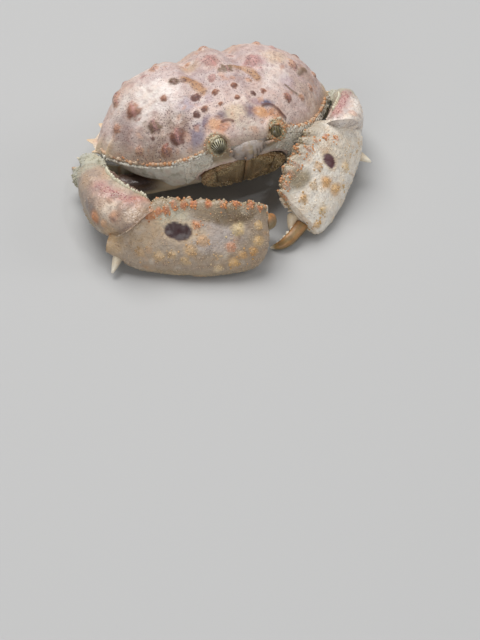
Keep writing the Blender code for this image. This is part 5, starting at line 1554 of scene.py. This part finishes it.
# the underside: the breastplate with its hip rings, and the folded tail
breastLook = {
    "floor": 4.9, "path": ((0, -17, 6.6), (0, -12, 6.7), (0, 0, 6.7), (0, 15.5, 6.7)),
    "widths": (12, 20.5, 19, 15), "heights": (4.2, 4.8, 4.8, 4.8), "seams": (-13.2, -9.6, -3.6, 2.6, 8.6),
    "tone": (234, 228, 212),
    "seam": (204, 178, 142), "clouds": (((222, 204, 178), 0.5, 0.05, 0.3, 5, 73),), "ring": (232, 222, 202),
    "ringSeam": (198, 160, 116), "clawRing": (6.2, 6), "legRing": (4.2, 4.2)}
# the tail's two parts; round is how many rings close its near end, way is the side of the joint
tailLooks = {
    "abdomen": {"path": ((0, -10.5, 3.9), (0, -4, 3.9), (0, 6, 3.9), (0, 17.5, 4.1)),
                "widths": (4, 8.4, 9.6, 11.2), "heights": (1.6, 1.6, 1.6, 1.8),
                "seams": (0.14, 0.3, 0.46, 0.62, 0.8), "round": 10, "seed": 32, "way": 1},
    "abdomen_base": {"path": ((0, 15.5, 3.8), (0, 19.5, 6), (0, 22.6, 8.8), (0, 25.2, 12.4)),
                     "widths": (12, 13, 14.5, 16), "heights": (2.2, 2.6, 2.8, 3), "seams": (0.4, 0.72),
                     "round": 0, "seed": 33, "way": -1}}
tailTones = {"tone": (236, 230, 214), "seam": (200, 172, 134)}
tailJoint, tailNormal = np.array((0, 16.6, 4.2)), unit((0, 1, 0.45))


def grooveAt(value, places, width):
    # exp(-(distance / width)^2) from the nearest place
    far = np.min([np.abs(value - place) for place in places], axis=0)
    return np.exp(-(far / width) ** 2)


def breastParts():
    # a flat squared tube with seams pressed in, and a ring for each limb
    look = breastLook
    grid = tubeGrid(look["path"], look["widths"], look["heights"], 160, 120, fullness=4)
    grid = roundEnds(grid, 5, 5)
    normal = gridNormals(grid)
    grid[..., 2] = np.minimum(np.maximum(grid[..., 2], look["floor"] + 0.1), bellyZ - 0.5)
    x, y = grid[..., 0], grid[..., 1]
    # seams run outward and back from the tail between one leg's plate and the next
    seam = grooveAt(y - 0.22 * np.abs(x), look["seams"], 0.34)
    lower = grid[..., 2] < 7
    relief = 0.18 * noise(grid, 3, 71)
    grid = grid - normal * (0.45 * seam * lower)[..., None] + normal * relief[..., None]
    paint = paintOver(allOver(grid, look["tone"]), look["seam"], 0.55 * seam)
    parts = [skin(grid, clouded(paint, grid, look["clouds"]), 0.2, 0.5)]
    hips = [(claws[word]["hip"], *look["clawRing"]) for word in sides]
    hips += [(np.array(joints[0]) * (side, 1, 1), *look["legRing"])
             for joints in legs.values() for side in sides.values()]
    return parts + [hipRing(np.array(at, float), wide, high) for at, wide, high in hips]


def hipRing(at, wide, high):
    # the stub between the breastplate and a limb, swollen in rings
    look, rings = breastLook, 60
    inner = np.array((at[0] * 0.45, at[1] * 0.96, 6.9))
    t = np.linspace(0, 1, rings)
    bulge = 0.94 + 0.10 * np.abs(np.sin(np.pi * (t * 2.6 + 0.2))) ** 0.6 - 0.10 * ramp(0.94, 1, t)
    end = at - unit(at - inner) * 0.1
    ring = tubeGrid([inner, (inner + end) / 2, end], wide * bulge, high * bulge, rings, 36, fullness=2.3)
    ring[..., 2] = np.clip(ring[..., 2], look["floor"] - 1.2, bellyZ - 0.4)
    dark = np.clip(1 - (bulge - 0.94) / 0.05, 0, 1)
    paint = paintOver(allOver(ring, look["ring"]), look["ringSeam"], 0.6 * dark[:, None])
    return skin(ring, paint, 0.15, 0.4)


def tailPart(look):
    # a flat squared tube in low steps with a seam at each, cut where the tail folds
    rings = 120
    grid = tubeGrid(look["path"], look["widths"], look["heights"], rings, 90, fullness=4)
    grid = roundEnds(grid, look["round"], 0)
    along = np.linspace(0, 1, rings)[:, None]
    seam = grooveAt(along, look["seams"], 0.014)
    step = sum(ramp(place - 0.05, place, along) - ramp(place, place + 0.02, along)
               for place in look["seams"])
    relief = 0.22 * step - 0.32 * seam + 0.14 * noise(grid, 2.6, look["seed"])
    grid = grid + gridNormals(grid) * relief[..., None]
    grid = stopAt(grid, tailJoint, look["way"] * tailNormal, soft=0.15)
    return skin(grid, paintOver(allOver(grid, tailTones["tone"]), tailTones["seam"], 0.6 * seam), 0.15, 0.4)


makePiece("breast_skin", breastParts(), "underHorn", ["sternum"])
for name, look in tailLooks.items():
    makePiece(name + "_skin", [tailPart(look)], "underHorn", [name])


# the mouth plates, the feelers and the eyes

mouthLook = {
    # height over the face and distance from the plate's edge
    "levels": ((-0.1, 0.5), (0.5, 0.12), (1, 0), (1.7, 0.2), (2.3, 0.9), (2.65, 2), (2.7, 3.4), (2.5, 5)),
    "middle": (6.5, 6), "tone": (126, 107, 77), "upper": (162, 142, 108), "rim": (164, 112, 70),
    "groove": (84, 68, 48), "clouds": (((186, 160, 122), 0.6, 0.05, 0.2, 1.5, 87),),
    "blotches": (((108, 90, 62), 0.5, 0.05, 0.25, 2.8, 85),),
    "grains": 420, "grainSize": (0.3, 0.85), "grainPale": (206, 184, 140)}


def mouthPlate(side):
    # the plate's outline draws in toward its middle as it rises off the face
    look, rings, columns = mouthLook, 60, 150
    half = curveThrough(mouthEdge, columns)
    level = curveThrough(look["levels"], rings)
    away = half - np.array(look["middle"])
    reach = norm(away, axis=1)
    away = away / reach[:, None]
    shrink = np.minimum(level[:, 1:], 0.92 * reach[None])
    flat = half[None] - away[None] * shrink[..., None]
    flat[..., 0] = np.maximum(flat[..., 0], 0.16 + 0.25 * np.minimum(level[:, 1:], 1.2))
    out = np.repeat(level[:, :1], columns, axis=1)
    # a groove parts the inner blade from the outer one, and a ridge follows the upper edge
    groove = np.exp(-((flat[..., 0] - 9.3 - 0.22 * (flat[..., 1] - 4)) / 0.34) ** 2)
    upper = ramp(6.2, 8, flat[..., 1] + 0.32 * (flat[..., 0] - 4))
    local = np.stack([flat[..., 0] * side, flat[..., 1], out], axis=-1)
    relief = 1.0 * noise(local, 2.6, 15 + side) + 0.6 * noise(local, 1.2, 19 + side)
    out = out - 0.5 * groove * ramp(1, 2.2, out) + relief * ramp(0.4, 1.8, out)
    across = np.array((1, 0, 0)) * (flat[..., 0] * side)[..., None]
    grid = faceFoot + across + faceUp * flat[..., 1][..., None] + faceOut * out[..., None]
    paint = paintOver(allOver(grid, look["tone"]), look["upper"], 0.8 * upper)
    paint = clouded(paint, local, look["clouds"])
    rim = np.exp(-((level[:, 1:] - 0.5) / 0.6) ** 2)
    # the lip's brown rim, and painted shade down the groove between the blades
    paint = layered(paint,
        (look["rim"], 0.5 * rim * upper),
        (look["groove"], 0.7 * groove))
    paint = clouded(paint, local, look["blotches"])
    # grains over the plate
    count = look["grains"]
    row, column = chance.integers(18, 50, count), chance.integers(0, columns, count)
    size = chance.uniform(*look["grainSize"], count)
    tint = paint[row, column]
    stand = np.tile(faceOut, (count, 1)) + chance.normal(0, 0.25, (count, 3))
    grains = smallForms(grid[row, column] - faceOut * 0.15, stand, size * 0.7, size, tint * 0.8,
                        blend(tint, look["grainPale"], 0.45), beadOutline, 6)
    return [skin(grid, paint, 0.8, 1.1), grains]


# feelers: a path and the widths along it
feelers = {
    "antenna": ((5.4, -26.2, 26), (6, -29.2, 27.2), (7.4, -31.6, 29.4), (1.5, 1.1, 0.55)),
    "antennule": ((1.9, -26, 24.4), (2, -28.6, 24.6), (1.3, -30, 23.4), (1.6, 1.2, 0.6))}


def feelerPart(kind, side):
    # a thin tube, faintly ringed and narrowed at its joints
    *points, widths = feelers[kind]
    points = np.array(points) * (side, 1, 1)
    t = np.linspace(0, 1, 70)
    size = np.interp(t, (0, 0.5, 1), widths)
    size = size * (1 + 0.10 * np.cos(2 * np.pi * t * 9) * ramp(0.2, 0.5, t)
                   - 0.12 * grooveAt(t, (0.22, 0.45), 0.02))
    grid = roundEnds(tubeGrid(points, size, size, len(t), 24, up=(0, 0.3, 1)), 4, 5)
    paint = allOver(grid, (182, 168, 156))
    paint = paintOver(paint, (208, 160, 124), 0.7 * ramp(0.5, 1, t)[:, None])
    return skin(grid, paint, 0.3, 0.4)


makePiece("front_folds", frontFolds(), "mouthHorn", ["antennule_left", "antennule_right"])
for word, side in sides.items():
    plates = {"maxilliped_" + word: mouthPlate(side)}
    plates.update({f"{kind}_{word}": [feelerPart(kind, side)] for kind in feelers})
    for node, parts in plates.items():
        makePiece(node + "_skin", parts, "mouthHorn", [node])


# the eyes: tones, how far the pale cover shows, the count of lines, where the cover starts, and the pole
eyeLooks = {
    "right": {"pale": (208, 200, 166), "dark": (48, 42, 24), "cover": 0.72, "lines": 22, "start": 0.4,
              "pole": (-0.02, -0.99, -0.1)},
    "left": {"pale": (150, 136, 92), "dark": (36, 30, 20), "cover": 0.1, "lines": 34, "start": 0.5,
             "pole": (-0.35, -0.62, -0.7)}}


def eyeMaterial(name, look):
    # fine lines run from the eye's lower part to its edge, dark at that pole and pale above
    material, tree, shader = newMaterial(name)
    shader.inputs["Roughness"].default_value = 0.4
    shader.inputs["Coat Weight"].default_value = 0.4
    shader.inputs["Coat Roughness"].default_value = 0.12
    place = nodeIn(tree, "UVMap", {"uv_map": "eyeMap"}).outputs["UV"]
    turn, away = nodeIn(tree, "SeparateXYZ", None, {"Vector": place}).outputs[:2]
    turns = mathIn(tree, "MULTIPLY", turn, 2 * np.pi * look["lines"])
    waves = mathIn(tree, "SINE", turns)
    lines = rangeIn(tree, waves, (0, 0.95))
    fade = rangeIn(tree, away, (0.05, 0.3))
    above = rangeIn(tree, away, (look["start"], look["start"] + 0.13), (0, look["cover"]))
    both = mathIn(tree, "MULTIPLY", lines, fade)
    whole = mathIn(tree, "MAXIMUM", both, above)
    mixed = mixIn(tree, whole, tone(*look["dark"]), tone(*look["pale"]))
    tree.links.new(mixed, shader.inputs["Base Color"])
    return material


def makeEye(word):
    # a ball whose pole points down and inward; its map holds the turn about the pole and the way from it
    rings, columns = 60, 90
    look = eyeLooks[word]
    pole = unit(look["pole"])
    across = unit(np.cross(pole, (0, 0, 1)))
    other = np.cross(pole, across)
    down = np.linspace(0.02, np.pi - 0.02, rings)[:, None, None]
    turn = fullTurn(columns)[None, :, None]
    ball = pole * np.cos(down) + (across * np.cos(turn) + other * np.sin(turn)) * np.sin(down)
    grid = eyePlaces[word] + ball * eyeRadius
    glass = "eye_" + word + "Glass"
    materials[glass] = eyeMaterial(glass, look)
    whole = allOver(grid, look["pale"])
    piece = makePiece("eye_" + word + "_skin", [skin(grid, whole)], glass, ["eye_" + word])
    mesh = piece.data
    corner = np.zeros(len(mesh.loops), np.int32)
    mesh.loops.foreach_get("vertex_index", corner)
    point = np.zeros(len(mesh.vertices) * 3, np.float32)
    mesh.vertices.foreach_get("co", point)
    local = unit((point.reshape(-1, 3) - rowShift) / millimetre - eyePlaces[word])
    angle = np.arctan2(local @ other, local @ across) / (2 * np.pi) + 0.5
    away = np.arccos(np.clip(local @ pole, -1, 1)) / np.pi
    values = np.stack([angle[corner], away[corner]], axis=1)
    # a face across the seam keeps its corners on one side of it
    quads = np.zeros(len(mesh.polygons), np.int32)
    mesh.polygons.foreach_get("loop_total", quads)
    owner = np.repeat(np.arange(len(quads)), quads)
    highest = np.full(len(quads), -1.0)
    np.maximum.at(highest, owner, values[:, 0])
    values[:, 0] += np.where((highest[owner] > 0.75) & (values[:, 0] < 0.25), 1, 0)
    mesh.uv_layers.new(name="eyeMap").data.foreach_set("uv", values.astype(np.float32).ravel())


for word in sides:
    makeEye(word)


# the floor, the light and the camera

# place, size, power and colour of each lamp
lamps = {
    "sky": ((-0.05, 0.55, 1.4), 1.2, 22, (1, 0.99, 0.97)),
    "front": ((-0.85, -1.1, 0.6), 0.8, 6, (1, 0.99, 0.98)),
    "right": ((1.2, -0.45, 0.75), 0.7, 3, (1, 0.99, 0.97)),
    "glint": ((0.22, -0.3, 0.85), 0.07, 0.6, (1, 1, 1))}
studioLook = {"aim": (0, 0, 0.015), "floorHalf": 3, "floorTone": (184, 184, 184), "floorRoughness": 0.7,
              "air": (0.8, 0.85, 0.92, 1), "airStrength": 0.2}
# the photo's camera, in millimetres
cameraLook = {"place": (-116.61, -304.83, 272.69), "target": (-21.32, -73.27, 0), "lens": 68.584,
              "film": 36}


def inScene(name, data):
    item = bpy.data.objects.new(name, data)
    bpy.context.scene.collection.objects.link(item)
    return item


def studio():
    look, far = studioLook, studioLook["floorHalf"]
    ground = bpy.data.meshes.new("studio_floor")
    ground.from_pydata([(-far, -far, 0), (far, -far, 0), (far, far, 0), (-far, far, 0)], [], [(0, 1, 2, 3)])
    pale, shader = newMaterial("paleFloor")[::2]
    shader.inputs["Base Color"].default_value = (*tone(*look["floorTone"]), 1)
    shader.inputs["Roughness"].default_value = look["floorRoughness"]
    ground.materials.append(pale)
    floor = inScene("studio_floor", ground)
    for name, (place, size, power, colour) in lamps.items():
        lamp = bpy.data.lights.new(name, "AREA")
        lamp.shape = "DISK"
        lamp.size, lamp.energy, lamp.color = size, power, colour
        source = inScene(name, lamp)
        source.location = place
        source.rotation_euler = (Vector(look["aim"]) - Vector(place)).to_track_quat("-Z", "Y").to_euler()
    world = bpy.data.worlds.new("softRoom")
    world.use_nodes = True
    air = world.node_tree.nodes["Background"].inputs
    air["Color"].default_value, air["Strength"].default_value = look["air"], look["airStrength"]
    bpy.context.scene.world = world
    bpy.context.scene.view_settings.view_transform = "Standard"


def photoCamera():
    place, target = (Vector(cameraLook[key]) * millimetre + Vector(rowShift) for key in ("place", "target"))
    lens = bpy.data.cameras.new("photoCamera")
    lens.lens, lens.sensor_width, lens.clip_start = cameraLook["lens"], cameraLook["film"], 0.01
    lens.dof.use_dof = False
    camera = inScene("photoCamera", lens)
    camera.location = place
    camera.rotation_euler = (target - place).to_track_quat("-Z", "Y").to_euler()
    bpy.context.scene.camera = camera


studio()
photoCamera()
